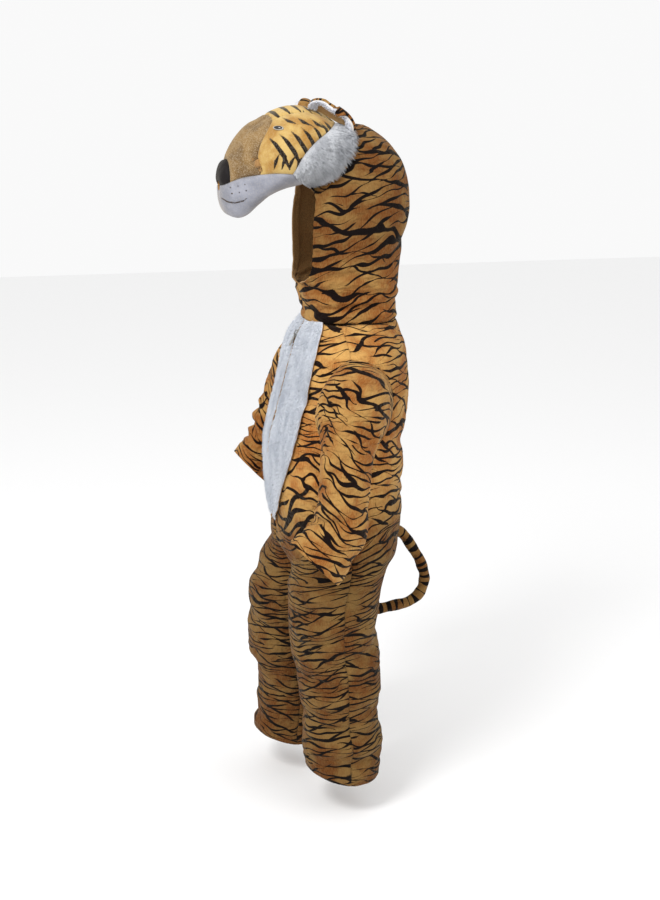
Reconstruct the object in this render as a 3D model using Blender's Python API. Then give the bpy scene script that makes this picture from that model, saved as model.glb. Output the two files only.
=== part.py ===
"""Child's one-piece tiger costume with a hood that carries a plush tiger face.

Units are metres, +Z is up, the costume faces -Y and the wearer's left is +X.
Heights in the tables are measured from the soles of the wearer's feet; the finished
solids are lowered by SHOULDER_HEIGHT, so the origin lies midway between the shoulders.
"""
import math

import bmesh
import bpy
from mathutils import Matrix, Vector
from mathutils.bvhtree import BVHTree

# Driving sizes
SHOULDER_HEIGHT = 0.760
CLOTH = 0.0025              # plush cloth wall
SEAM_GAP = 0.0003           # between pieces that are sewn together
LAID_ON = 0.0012            # between a panel and what lies on it
FUR = 0.0055                # belly fur, backing and pile
FACE_PLUSH = 0.0065         # padded pieces of the face
TUFT_PLUSH = 0.0070         # long fur at the side of the face
NOSE_CROWN = 0.0045         # how far each padded piece swells between its seams
MUZZLE_CROWN = 0.0030
BRIDGE_CROWN = 0.0020
FOREHEAD_CROWN = 0.0025
CHEEK_CROWN = 0.0060
TUFT_CROWN = 0.0070

# Body form
SIDE_LINE = -0.020          # y of the side seam
BODY_ROUND = 2.25           # powers of the rounded sections
LEG_ROUND = 2.1
SLEEVE_ROUND = 2.15
NECK_HEIGHT = 0.790
HIP_HEIGHT = 0.440          # the panels begin to part into legs
CROTCH_HEIGHT = 0.378
HEM_HEIGHT = 0.060
HEM_RISE = 0.016            # the hem rides up over the instep

# Armholes
ARMHOLE_TOP = 0.745
ARMHOLE_BOTTOM = 0.608
ARMHOLE_GAP = 0.0004
ARMHOLE_REACH = math.radians(33)   # how far the hole reaches to the front and to the back

# Zip in the centre front
TAPE_HALF = 0.0052
TAPE_THICK = 0.0014
ZIP_TOP = 0.7855
ZIP_BOTTOM = 0.470
PLATE_SIZE = Vector((0.0075, 0.0022, 0.0110))
SLIDER_HEIGHT = 0.7660
ARCH_WIDE = 0.0022
ARCH_TALL = 0.0084
ARCH_GAP = 0.0026
ARCH_BAR = 0.0011
TAB_WIDE = 0.0062
TAB_LENGTH = 0.0210
TAB_THICK = 0.0012
TAB_SLOT_WIDE = 0.0032
TAB_SLOT_TALL = 0.0034

STRAND_PLAY = 0.00032       # between the tab's strand and the arch, so its corners turn freely
SLIDER_PLAY = 0.0005        # between the slider's plate and the tape

# Tail
TAIL_RADIUS = 0.0088
TAIL_SIDES = 9
TAIL_RINGS = 26

COLOURS = {
    "tiger": (0.62, 0.33, 0.10),
    "belly": (0.80, 0.81, 0.84),
    "white": (0.78, 0.78, 0.82),
    "tan": (0.42, 0.25, 0.11),
    "yellow": (0.72, 0.50, 0.20),
    "black": (0.02, 0.02, 0.02),
    "metal": (0.55, 0.55, 0.52),
    "tape": (0.70, 0.71, 0.73),
}


class Table:
    """Rows of named columns, the first one rising, read with a smooth curve between the
    rows, or with a straight line."""

    def __init__(self, columns, rows, straight=False):
        self.columns = columns.split()
        self.rows = sorted(rows)
        self.straight = straight

    def at(self, key):
        keys = [row[0] for row in self.rows]
        key = min(max(key, keys[0]), keys[-1])
        low = max(i for i in range(len(keys) - 1) if keys[i] <= key)
        span = keys[low + 1] - keys[low]
        part = (key - keys[low]) / span
        return [self._curve(column, low, part, span) for column in range(1, len(self.columns))]

    def _slope(self, column, i):
        before = max(i - 1, 0)
        after = min(i + 1, len(self.rows) - 1)
        return (self.rows[after][column] - self.rows[before][column]) / (
            self.rows[after][0] - self.rows[before][0])

    def _curve(self, column, i, part, span):
        start = self.rows[i][column]
        end = self.rows[i + 1][column]
        if self.straight:
            return start + (end - start) * part
        leave = self._slope(column, i) * span
        arrive = self._slope(column, i + 1) * span
        squared = part * part
        cubed = squared * part
        return (start * (2 * cubed - 3 * squared + 1) + leave * (cubed - 2 * squared + part)
                + end * (3 * squared - 2 * cubed) + arrive * (cubed - squared))


TORSO = Table("height half_width front back", [
    (0.790, 0.074, -0.052, 0.085),
    (0.776, 0.099, -0.060, 0.089),
    (0.762, 0.121, -0.068, 0.093),
    (0.745, 0.136, -0.073, 0.095),
    (0.718, 0.140, -0.081, 0.097),
    (0.680, 0.141, -0.091, 0.100),
    (0.640, 0.141, -0.102, 0.097),
    (0.600, 0.141, -0.112, 0.093),
    (0.560, 0.140, -0.113, 0.094),
    (0.520, 0.140, -0.111, 0.092),
    (0.480, 0.142, -0.107, 0.090),
    (0.440, 0.144, -0.108, 0.086),
    (0.370, 0.146, -0.112, 0.070),
])

# A leg's centre lies this far out and at this y; the left one stands a little behind
LEFT_LEG = Table("height out y half_width half_depth", [
    (0.440, 0.074, -0.020, 0.0715, 0.082),
    (0.378, 0.0765, -0.030, 0.0735, 0.073),
    (0.320, 0.077, -0.033, 0.0710, 0.0710),
    (0.266, 0.077, -0.028, 0.0675, 0.0700),
    (0.231, 0.077, -0.023, 0.0650, 0.0670),
    (0.196, 0.078, -0.023, 0.0625, 0.0635),
    (0.161, 0.079, -0.021, 0.0610, 0.0610),
    (0.126, 0.080, -0.017, 0.0630, 0.0650),
    (0.090, 0.080, -0.018, 0.0600, 0.0620),
    (0.060, 0.080, -0.018, 0.0570, 0.0580),
])
RIGHT_LEG = Table("height out y half_width half_depth", [
    (0.440, 0.074, -0.024, 0.0715, 0.082),
    (0.378, 0.0765, -0.046, 0.0735, 0.073),
    (0.350, 0.077, -0.062, 0.0720, 0.069),
    (0.310, 0.078, -0.069, 0.0700, 0.068),
    (0.265, 0.079, -0.072, 0.0675, 0.0650),
    (0.223, 0.080, -0.073, 0.0650, 0.0630),
    (0.190, 0.081, -0.066, 0.0610, 0.0580),
    (0.160, 0.082, -0.064, 0.0600, 0.0560),
    (0.110, 0.083, -0.065, 0.0610, 0.0565),
    (0.077, 0.083, -0.069, 0.0600, 0.0585),
    (0.060, 0.083, -0.069, 0.0580, 0.0580),
])
LEGS = {1: LEFT_LEG, -1: RIGHT_LEG}

# Sections of a sleeve: its middle, the lean of the section from upright to level,
# the tilt of the forearm, and half its size outward and forward
LEFT_SLEEVE = Table("along out y height lean tilt half_out half_fore", [
    (0.0, 0.1390, -0.020, 0.6765, -1, 0, 0.0680, 0.0630),
    (1.0, 0.1555, -0.022, 0.6705, 11, 0, 0.0677, 0.0560),
    (2.0, 0.1680, -0.026, 0.6575, 22, 0, 0.0620, 0.0500),
    (3.0, 0.1760, -0.031, 0.6385, 34, 1, 0.0540, 0.0450),
    (4.0, 0.1785, -0.036, 0.6150, 48, 2, 0.0446, 0.0410),
    (5.0, 0.1790, -0.040, 0.5875, 62, 3, 0.0378, 0.0385),
    (6.0, 0.1790, -0.043, 0.5565, 76, 7, 0.0346, 0.0385),
    (7.0, 0.1790, -0.044, 0.5280, 85, 16, 0.0336, 0.0405),
    (8.0, 0.1780, -0.051, 0.5000, 90, 30, 0.0340, 0.0435),
    (9.0, 0.1755, -0.067, 0.4740, 90, 41, 0.0360, 0.0465),
    (10.0, 0.1720, -0.086, 0.4525, 90, 45, 0.0380, 0.0480),
])
RIGHT_SLEEVE = Table("along out y height lean tilt half_out half_fore", [
    (0.0, 0.1390, -0.020, 0.6765, -1, 0, 0.0680, 0.0630),
    (1.0, 0.1555, -0.022, 0.6705, 11, 0, 0.0677, 0.0560),
    (2.0, 0.1680, -0.026, 0.6585, 22, 0, 0.0620, 0.0500),
    (3.0, 0.1760, -0.036, 0.6410, 34, 5, 0.0540, 0.0470),
    (4.0, 0.1795, -0.047, 0.6200, 48, 11, 0.0446, 0.0440),
    (5.0, 0.1810, -0.056, 0.5990, 62, 20, 0.0378, 0.0430),
    (6.0, 0.1810, -0.065, 0.5790, 76, 29, 0.0350, 0.0430),
    (7.0, 0.1800, -0.074, 0.5580, 85, 37, 0.0345, 0.0435),
    (8.0, 0.1775, -0.085, 0.5370, 90, 43, 0.0355, 0.0445),
    (9.0, 0.1740, -0.096, 0.5200, 90, 45, 0.0370, 0.0455),
    (10.0, 0.1710, -0.107, 0.5060, 90, 46, 0.0380, 0.0460),
])
SLEEVES = {1: LEFT_SLEEVE, -1: RIGHT_SLEEVE}
SLEEVE_STATIONS = [0, 0.4, 1.2, 2.2, 3.2, 4.2, 5.2, 6.0, 6.8, 7.6, 8.4, 9.2, 10]

HOOD_SIDE_LINE = 0.005
HOOD_ROUND = 2.5
HOOD = Table("height half_width front back", [
    (0.790, 0.073, -0.060, 0.083),
    (0.815, 0.073, -0.062, 0.083),
    (0.845, 0.077, -0.072, 0.085),
    (0.880, 0.081, -0.084, 0.088),
    (0.920, 0.085, -0.087, 0.096),
    (0.960, 0.088, -0.083, 0.102),
    (0.985, 0.088, -0.070, 0.101),
    (0.998, 0.087, -0.061, 0.099),
    (1.005, 0.087, -0.058, 0.097),
    (1.030, 0.083, -0.054, 0.088),
    (1.050, 0.075, -0.048, 0.073),
    (1.065, 0.060, -0.041, 0.058),
    (1.075, 0.044, -0.034, 0.044),
    (1.081, 0.026, -0.022, 0.032),
    (1.0845, 0.0012, -0.006, 0.016),
])

# The face opening: how far its edge lies round from the centre front, in degrees
FACE_OPENING = Table("height edge", [
    (0.790, 0.0),
    (0.8449, 0.0),
    (0.846, 4.0),
    (0.852, 26.0),
    (0.860, 38.0),
    (0.875, 46.0),
    (0.900, 49.0),
    (0.960, 49.0),
    (0.975, 46.0),
    (0.986, 38.0),
    (0.993, 24.0),
    (0.997, 4.0),
    (0.9985, 0.0),
    (1.0845, 0.0),
], straight=True)

# Sections of the tiger's face across the wearer's forehead, from the crown to the nose tip
FACE_ROUND = 2.3
FACE = Table("y bottom middle top half_width", [
    (-0.1895, 0.9880, 0.9940, 1.0000, 0.008),
    (-0.1860, 0.9680, 0.9960, 1.0130, 0.023),
    (-0.1780, 0.9560, 0.9985, 1.0320, 0.034),
    (-0.1650, 0.9505, 1.0030, 1.0550, 0.0425),
    (-0.1500, 0.9540, 1.0100, 1.0730, 0.0500),
    (-0.1350, 0.9660, 1.0200, 1.0850, 0.0615),
    (-0.1180, 0.9800, 1.0280, 1.0950, 0.0740),
    (-0.0950, 0.9900, 1.0330, 1.1040, 0.0850),
    (-0.0700, 0.9940, 1.0350, 1.1070, 0.0910),
    (-0.0450, 0.9960, 1.0340, 1.1010, 0.0915),
    (-0.0200, 0.9960, 1.0300, 1.0905, 0.0885),
    (0.0100, 0.9960, 1.0280, 1.0860, 0.0885),
])

# Seams of the face seen from the side, each from the bottom up
CHEEK_FRONT = Table("share y height", [
    (0.00, -0.1370, 1.0120),
    (0.25, -0.1410, 1.0300),
    (0.50, -0.1380, 1.0490),
    (0.75, -0.1290, 1.0680),
    (1.00, -0.1150, 1.0890),
])
CHEEK_REAR = Table("share y height", [
    (0.00, -0.0930, 1.0120),
    (0.25, -0.0800, 1.0380),
    (0.50, -0.0620, 1.0580),
    (0.75, -0.0400, 1.0730),
    (1.00, -0.0200, 1.0860),
])
TUFT_REAR = Table("share y height", [
    (0.00, -0.0680, 0.9985),
    (0.25, -0.0400, 1.0080),
    (0.50, -0.0200, 1.0330),
    (0.75, -0.0050, 1.0560),
    (1.00, -0.0040, 1.0800),
])
MUZZLE_EDGE = Table("y height", [
    (-0.1893, 0.9945),
    (-0.1650, 1.0060),
    (-0.1370, 1.0120),
])
NOSE_REAR = -0.1775
FACE_TIP = -0.1893

# How many faces each shared seam of the face has
NOSE_PARTS = 3
SNOUT_PARTS = 3
CHEEK_LONG = 5
CHEEK_TALL = 6
TUFT_LONG = 3
TOP_PARTS = 8
MUZZLE_COLUMNS = 10
BRIDGE_SWEEP = 1.7          # how late the bridge's rows leave the nose on top

# White fur panel of the belly: the outer edge lies this far round from the centre front
BELLY = Table("height edge", [
    (0.480, 3.5),
    (0.500, 12.0),
    (0.530, 20.0),
    (0.560, 28.0),
    (0.590, 35.0),
    (0.630, 38.0),
    (0.680, 39.0),
    (0.730, 41.0),
    (0.760, 44.0),
    (0.787, 50.0),
])
BELLY_POINT = 0.480         # height of its lower tip
BELLY_STEP = 0.003          # least height of its first row
BELLY_LEAST = 0.02          # least width, as an angle
FUR_BACKING = 0.0015

# Route of the tail behind the costume
TAIL_ROUTE = [
    (0.000, 0.0930, 0.4370),
    (0.000, 0.1070, 0.4270),
    (0.001, 0.1220, 0.4040),
    (0.002, 0.1360, 0.3790),
    (0.003, 0.1430, 0.3500),
    (0.004, 0.1340, 0.3240),
    (0.004, 0.1150, 0.3110),
    (0.004, 0.0930, 0.3070),
    (0.004, 0.0700, 0.3040),
    (0.003, 0.0500, 0.3020),
]

# Main folds: place along and round the piece in degrees, slope of the fold, how far it
# runs round, its half width and its rise, which is negative for a trough
TORSO_FOLDS = [
    (0.705, 70, -0.060, 50, 0.014, 0.0040),
    (0.665, 55, -0.050, 40, 0.012, -0.0035),
    (0.585, 75, 0.030, 45, 0.012, -0.0040),
    (0.560, 95, 0.020, 60, 0.013, 0.0040),
    (0.515, 70, -0.020, 55, 0.012, -0.0035),
    (0.480, 120, -0.045, 60, 0.014, -0.0045),
    (0.452, 105, -0.040, 60, 0.014, 0.0045),
    (0.545, 165, 0.020, 45, 0.013, -0.0030),
    (0.610, 150, -0.030, 45, 0.014, -0.0035),
    (0.700, 150, 0.050, 40, 0.016, 0.0035),
    (0.700, -65, 0.060, 50, 0.014, 0.0040),
    (0.655, -60, 0.045, 40, 0.012, -0.0035),
    (0.575, -80, -0.030, 50, 0.013, -0.0040),
    (0.540, -95, -0.020, 60, 0.013, 0.0040),
    (0.490, -75, 0.025, 55, 0.013, -0.0040),
    (0.465, -125, 0.045, 60, 0.014, -0.0040),
    (0.620, -150, 0.030, 45, 0.014, -0.0035),
]
LEG_FOLDS = {
    1: [
        (0.352, 40, 0.018, 75, 0.012, -0.0045),
        (0.330, 70, 0.022, 80, 0.011, 0.0040),
        (0.300, 20, -0.015, 60, 0.011, -0.0040),
        (0.272, 100, 0.018, 90, 0.012, -0.0045),
        (0.235, 50, -0.012, 80, 0.012, -0.0045),
        (0.205, 110, 0.010, 90, 0.011, 0.0040),
        (0.178, 30, 0.016, 85, 0.011, -0.0045),
        (0.148, 95, -0.014, 110, 0.010, -0.0050),
        (0.122, 60, 0.012, 110, 0.011, 0.0035),
        (0.098, 100, 0.012, 100, 0.009, -0.0045),
        (0.320, 180, 0.020, 70, 0.013, -0.0050),
        (0.240, 200, -0.020, 70, 0.012, -0.0040),
        (0.165, 215, 0.016, 80, 0.011, -0.0045),
        (0.110, 250, -0.010, 80, 0.010, -0.0040),
    ],
    -1: [
        (0.355, 30, -0.020, 70, 0.012, -0.0045),
        (0.325, 80, 0.016, 85, 0.012, 0.0040),
        (0.292, 10, 0.016, 75, 0.012, -0.0045),
        (0.255, 90, -0.018, 90, 0.012, -0.0045),
        (0.215, 20, 0.014, 80, 0.012, 0.0040),
        (0.192, 40, -0.014, 100, 0.011, -0.0055),
        (0.155, 100, 0.012, 100, 0.011, -0.0045),
        (0.128, 20, -0.010, 90, 0.010, 0.0035),
        (0.100, 60, 0.010, 110, 0.010, -0.0045),
        (0.300, 180, -0.020, 70, 0.013, -0.0050),
        (0.225, 205, 0.018, 75, 0.012, -0.0045),
        (0.150, 190, 0.014, 80, 0.011, -0.0045),
        (0.105, 240, -0.010, 80, 0.010, -0.0035),
    ],
}
SLEEVE_FOLDS = {
    1: [
        (2.6, 60, 0.5, 70, 0.45, -0.0035),
        (3.8, 320, -0.6, 70, 0.45, -0.0035),
        (5.2, 40, 0.6, 80, 0.40, -0.0040),
        (6.3, 330, -0.5, 80, 0.40, -0.0045),
        (7.0, 60, 0.4, 90, 0.38, 0.0040),
        (7.7, 50, 0.5, 100, 0.35, -0.0050),
        (8.6, 300, -0.4, 80, 0.35, -0.0035),
        (9.2, 60, 0.4, 80, 0.35, 0.0030),
    ],
    -1: [
        (2.8, 320, 0.5, 70, 0.45, -0.0035),
        (4.2, 50, -0.5, 70, 0.45, -0.0035),
        (5.4, 80, 0.4, 100, 0.40, -0.0050),
        (6.2, 60, -0.4, 90, 0.40, 0.0040),
        (7.0, 80, 0.4, 100, 0.35, -0.0050),
        (8.2, 40, -0.4, 90, 0.35, -0.0040),
    ],
}
HOOD_FOLDS = [
    (0.862, 75, 0.018, 70, 0.006, -0.0030),
    (0.848, 100, -0.012, 90, 0.006, 0.0030),
    (0.836, 60, -0.010, 110, 0.006, -0.0035),
    (0.823, 95, 0.008, 120, 0.006, 0.0035),
    (0.812, 60, 0.008, 130, 0.006, -0.0035),
    (0.801, 110, -0.006, 130, 0.006, 0.0030),
    (0.905, 150, 0.040, 60, 0.014, -0.0035),
]

# Rows of the body panels, from the neck to the crotch and from there to the hem
SHOULDER_ROWS = [0.790, 0.783, 0.774, 0.763, 0.752]
ARMHOLE_ROWS = [0.745, 0.733, 0.714, 0.692, 0.668, 0.644, 0.622, 0.608]
WAIST_ROWS = [0.592, 0.572, 0.550, 0.528, 0.506, 0.484, 0.462, 0.440]
HIP_ROWS = [0.424, 0.408, 0.393, 0.382, 0.378]
LEG_ROWS = [0.358, 0.338, 0.318, 0.298, 0.277, 0.256, 0.235, 0.214, 0.193, 0.172, 0.152, 0.132,
            0.112, 0.093, 0.075, 0.060]
PANEL_ROWS = SHOULDER_ROWS + ARMHOLE_ROWS + WAIST_ROWS + HIP_ROWS + LEG_ROWS
PANEL_COLUMNS = 6
HOOD_ROWS = [0.790, 0.798, 0.806, 0.814, 0.822, 0.830, 0.838, 0.8449, 0.852, 0.860, 0.875, 0.900,
             0.935, 0.965, 0.984, 0.993, 0.9985, 1.018, 1.038, 1.054, 1.067, 1.076, 1.0815, 1.0845]
HOOD_COLUMNS = 9


def clear_scene():
    for old in list(bpy.data.objects):
        bpy.data.objects.remove(old, do_unlink=True)


def material(name):
    """A plain finish; every node gets a copy of its own."""
    made = bpy.data.materials.new(name)
    made.use_nodes = True
    shader = made.node_tree.nodes["Principled BSDF"]
    shader.inputs["Base Color"].default_value = (*COLOURS[name], 1.0)
    shader.inputs["Roughness"].default_value = 0.35 if name in ("metal", "black") else 0.85
    shader.inputs["Metallic"].default_value = 1.0 if name == "metal" else 0.0
    return made


def add_mesh(name, points, faces, finish, smooth_angle=50):
    """One named object from points in the tables' frame, lowered to the origin, faces outward."""
    mesh = bpy.data.meshes.new(name)
    mesh.from_pydata([Vector(p) - Vector((0, 0, SHOULDER_HEIGHT)) for p in points], [], faces)
    shaped = bmesh.new()
    shaped.from_mesh(mesh)
    bmesh.ops.triangulate(shaped, faces=shaped.faces[:], quad_method="SHORT_EDGE")
    if shaped.calc_volume(signed=True) < 0:
        bmesh.ops.reverse_faces(shaped, faces=shaped.faces[:])
    shaped.to_mesh(mesh)
    shaped.free()
    mesh.shade_smooth()
    mesh.set_sharp_from_angle(angle=math.radians(smooth_angle))
    mesh.materials.append(material(finish))
    made = bpy.data.objects.new(name, mesh)
    bpy.context.scene.collection.objects.link(made)
    return made


def add_wall(name, outer, inner, finish, round_tube=False):
    """A closed wall between two grids of points, given row by row."""
    rows = len(outer)
    columns = len(outer[0])
    spans = columns if round_tube else columns - 1

    def at(layer, row, column):
        return (layer * rows + row) * columns + column % columns

    faces = []
    for i in range(rows - 1):
        for j in range(spans):
            faces.append((at(0, i, j), at(0, i, j + 1), at(0, i + 1, j + 1), at(0, i + 1, j)))
            faces.append((at(1, i, j), at(1, i + 1, j), at(1, i + 1, j + 1), at(1, i, j + 1)))
    last = rows - 1
    for j in range(spans):
        faces.append((at(0, 0, j + 1), at(0, 0, j), at(1, 0, j), at(1, 0, j + 1)))
        faces.append((at(0, last, j), at(0, last, j + 1), at(1, last, j + 1), at(1, last, j)))
    if not round_tube:
        edge = columns - 1
        for i in range(rows - 1):
            faces.append((at(0, i, 0), at(0, i + 1, 0), at(1, i + 1, 0), at(1, i, 0)))
            faces.append((at(0, i + 1, edge), at(0, i, edge), at(1, i, edge), at(1, i + 1, edge)))
    points = [p for grid in (outer, inner) for row in grid for p in row]
    return add_mesh(name, points, faces, finish)


def normal_at(form, place, steps):
    """The form's normal at a place, from its slopes along both numbers."""
    first, second = place
    down = form(first + steps[0], second) - form(first - steps[0], second)
    across = form(first, second + steps[1]) - form(first, second - steps[1])
    return down.cross(across).normalized()


def pull_in(grid, edges, round_tube):
    """Moves the borders named in edges half a seam gap away from the seam."""
    rows = len(grid)
    columns = len(grid[0])
    old = [[p.copy() for p in row] for row in grid]

    def move(i, j, inner, along):
        way = inner - old[i][j]
        along.normalize()
        way = way - along * way.dot(along)
        if way.length > 1e-9:
            grid[i][j] = grid[i][j] + way.normalized() * (SEAM_GAP / 2)

    def across(i, j):
        left = j - 1 if round_tube else max(j - 1, 0)
        right = (j + 1) % columns if round_tube else min(j + 1, columns - 1)
        return old[i][right] - old[i][left]

    def down(i, j):
        return old[min(i + 1, rows - 1)][j] - old[max(i - 1, 0)][j]

    for j in range(columns):
        if "first_row" in edges:
            move(0, j, old[1][j], across(0, j))
        if "last_row" in edges:
            move(rows - 1, j, old[rows - 2][j], across(rows - 1, j))
    if not round_tube:
        for i in range(rows):
            if "first_column" in edges:
                move(i, 0, old[i][1], down(i, 0))
            if "last_column" in edges:
                move(i, columns - 1, old[i][columns - 2], down(i, columns - 1))


EVERY_EDGE = ("first_row", "last_row", "first_column", "last_column")


def form_wall(name, form, places, finish, outside, inside, steps, away, edges=EVERY_EDGE,
              round_tube=False, level_rows=()):
    """A wall on a form. outside and inside give how far its faces lie from the form at a
    place, away(point) is a point inside the form, and the wall is level at level_rows."""
    base = [[form(*place) for place in row] for row in places]
    normals = [[normal_at(form, place, steps) for place in row] for row in places]
    facing = sum(n.dot(p - away(p)) for ps, ns in zip(base, normals) for p, n in zip(ps, ns))
    sign = 1 if facing > 0 else -1
    grids = []
    for distance in (outside, inside):
        grid = [[p + n * sign * distance(*place) for p, n, place in zip(*rows)]
                for rows in zip(base, normals, places)]
        grids.append(grid)
    for grid in grids:
        for row in level_rows:
            for j, p in enumerate(grid[row]):
                p.z = base[row][j].z
        pull_in(grid, edges, round_tube)
    return add_wall(name, grids[0], grids[1], finish, round_tube)


def rounded(angle, power):
    """Sideways and forward share of a rounded section at an angle from the front."""
    side = math.sin(angle)
    ahead = math.cos(angle)
    return (math.copysign(abs(side) ** (2 / power), side),
            math.copysign(abs(ahead) ** (2 / power), ahead))


def turn_between(a, b):
    return (a - b + 180) % 360 - 180


def fold_rise(folds, along, around):
    """How far the main folds lift the cloth at a place, with the angle in degrees."""
    rise = 0.0
    for place, turn, slope, span, half_width, depth in folds:
        away = turn_between(around, turn)
        if abs(away) < span:
            line = place + slope * math.radians(away)
            window = math.cos(math.pi / 2 * away / span) ** 2
            rise += depth * window * math.exp(-((along - line) / half_width) ** 2)
    return rise


def smooth_step(start, end, value):
    part = min(max((value - start) / (end - start), 0.0), 1.0)
    return part * part * (3 - 2 * part)


def torso_point(height, angle):
    half_width, front, back = TORSO.at(height)
    side, ahead = rounded(angle, BODY_ROUND)
    reach = SIDE_LINE - front if ahead > 0 else back - SIDE_LINE
    return Vector((half_width * side, SIDE_LINE - ahead * reach, height))


def leg_point(side, height, angle):
    """A point of a leg. The angle runs from its front outward, and the hem rises in front."""
    out, y, half_width, half_depth = LEGS[side].at(height)
    across, ahead = rounded(angle, LEG_ROUND)
    rise = HEM_RISE * smooth_step(HEM_HEIGHT + 0.05, HEM_HEIGHT, height) * max(math.cos(angle), 0.0)
    return Vector((side * (out + half_width * across), y - half_depth * ahead, height + rise))


def armhole_reach(height):
    middle = (ARMHOLE_TOP + ARMHOLE_BOTTOM) / 2
    half = (ARMHOLE_TOP - ARMHOLE_BOTTOM) / 2
    part = 1 - ((height - middle) / half) ** 2
    return ARMHOLE_REACH * math.sqrt(part) if part > 1e-6 else 0.0


def panel_angles(side, face, height, share):
    """Angle round the torso and round the leg of a place on a quarter panel, in radians."""
    quarter = math.pi / 2 - armhole_reach(height)
    torso = share * quarter if face > 0 else math.pi - share * quarter
    leg = (share - 0.5) * math.pi if face > 0 else math.pi - (share - 0.5) * math.pi
    return side * torso, leg


def panel_form(side, face):
    """One of the four panels cut in one from shoulder to ankle. A place is the height and
    the share from the centre seam or inseam to the side seam or armhole."""
    def form(height, share):
        torso, leg = panel_angles(side, face, height, share)
        above = torso_point(height, torso)
        below = leg_point(side, height, leg)
        return above.lerp(below, smooth_step(HIP_HEIGHT, CROTCH_HEIGHT, height))
    return form


def panel_rise(side, face):
    def rise(height, share):
        torso, leg = panel_angles(side, face, height, share)
        on_torso = fold_rise(TORSO_FOLDS, height, math.degrees(torso))
        on_leg = fold_rise(LEG_FOLDS[side], height, math.degrees(leg))
        legs = smooth_step(HIP_HEIGHT, CROTCH_HEIGHT, height)
        calm = smooth_step(NECK_HEIGHT, NECK_HEIGHT - 0.02, height)
        inseam = smooth_step(0.0, 0.12, share) if legs > 0 else 1.0
        by_hole = (smooth_step(ARMHOLE_BOTTOM - 0.02, ARMHOLE_BOTTOM, height)
                   * smooth_step(ARMHOLE_TOP + 0.02, ARMHOLE_TOP, height))
        edge = 1 - by_hole * smooth_step(0.7, 0.98, share)
        return ((1 - legs) * on_torso + legs * on_leg) * calm * inseam * edge
    return rise


def body_middle(point):
    return Vector((0.0, -0.01, point.z))


BODY_STEPS = (1e-4, 1e-3)
SIDES = {1: "left", -1: "right"}


def make_body():
    for side, side_name in SIDES.items():
        for face, face_name in ((1, "front"), (-1, "back")):
            places = [[(height, j / PANEL_COLUMNS) for j in range(PANEL_COLUMNS + 1)]
                      for height in PANEL_ROWS]
            rise = panel_rise(side, face)
            form_wall(f"{face_name}_{side_name}", panel_form(side, face), places, "tiger",
                      rise, lambda h, s, rise=rise: rise(h, s) - CLOTH, BODY_STEPS, body_middle,
                      edges=("first_row", "first_column", "last_column"), level_rows=(0,))


def sleeve_angles():
    """Angles round a sleeve that meet the rows of the armhole: top, front, bottom, back."""
    middle = (ARMHOLE_TOP + ARMHOLE_BOTTOM) / 2
    half = (ARMHOLE_TOP - ARMHOLE_BOTTOM) / 2
    front = [math.acos(max(-1.0, min(1.0, (height - middle) / half))) for height in ARMHOLE_ROWS]
    return front + [2 * math.pi - angle for angle in front[-2:0:-1]]


def sleeve_form(side):
    """A place is the station along the sleeve and the angle round it, from its outer side
    to its front."""
    middle = (ARMHOLE_TOP + ARMHOLE_BOTTOM) / 2
    half = (ARMHOLE_TOP - ARMHOLE_BOTTOM) / 2

    def form(along, angle):
        out, y, height, lean, tilt, half_out, half_fore = SLEEVES[side].at(along)
        lean = math.radians(lean)
        tilt = math.radians(tilt)
        outward = Vector((side * math.sin(lean), 0.0, math.cos(lean)))
        forward = Vector((0.0, -math.cos(tilt), math.sin(tilt)))
        across, ahead = rounded(math.pi / 2 - angle, SLEEVE_ROUND)
        ring = Vector((side * out, y, height)) + outward * across * half_out + forward * ahead * half_fore
        joined = smooth_step(1.0, 0.0, along)
        if joined <= 0:
            return ring
        reach = ARMHOLE_REACH * math.sin(angle)
        hole = torso_point(middle + half * math.cos(angle), side * (math.pi / 2 - reach))
        return ring.lerp(hole, joined)
    return form


def make_sleeves():
    angles = sleeve_angles()
    for side, side_name in SIDES.items():
        form = sleeve_form(side)

        def rise(along, angle, side=side):
            ends = smooth_step(0.3, 1.5, along) * smooth_step(10.0, 9.4, along)
            return ends * fold_rise(SLEEVE_FOLDS[side], along, math.degrees(angle))

        def middle(point, side=side):
            table = LEFT_SLEEVE if side > 0 else RIGHT_SLEEVE
            nearest = min(table.rows, key=lambda row: abs(row[3] - point.z))
            return Vector((side * nearest[1], nearest[2], nearest[3]))

        places = [[(along, angle) for angle in angles] for along in SLEEVE_STATIONS]
        made = form_wall(f"sleeve_{side_name}", form, places, "tiger", rise,
                         lambda a, b, rise=rise: rise(a, b) - CLOTH, (1e-3, 1e-3), middle,
                         edges=("first_row",), round_tube=True)
        clear_of_armhole(made, side, len(angles))


def clear_of_armhole(sleeve, side, count):
    """Sets the sleeve's first ring a seam gap outside the armhole's edge."""
    rings = len(sleeve.data.vertices) // count // 2
    for layer in (0, rings * count):
        for vertex in list(sleeve.data.vertices)[layer:layer + count]:
            vertex.co.x += side * ARMHOLE_GAP


def hood_point(height, angle):
    half_width, front, back = HOOD.at(height)
    side, ahead = rounded(angle, HOOD_ROUND)
    reach = HOOD_SIDE_LINE - front if ahead > 0 else back - HOOD_SIDE_LINE
    return Vector((half_width * side, HOOD_SIDE_LINE - ahead * reach, height))


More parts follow.
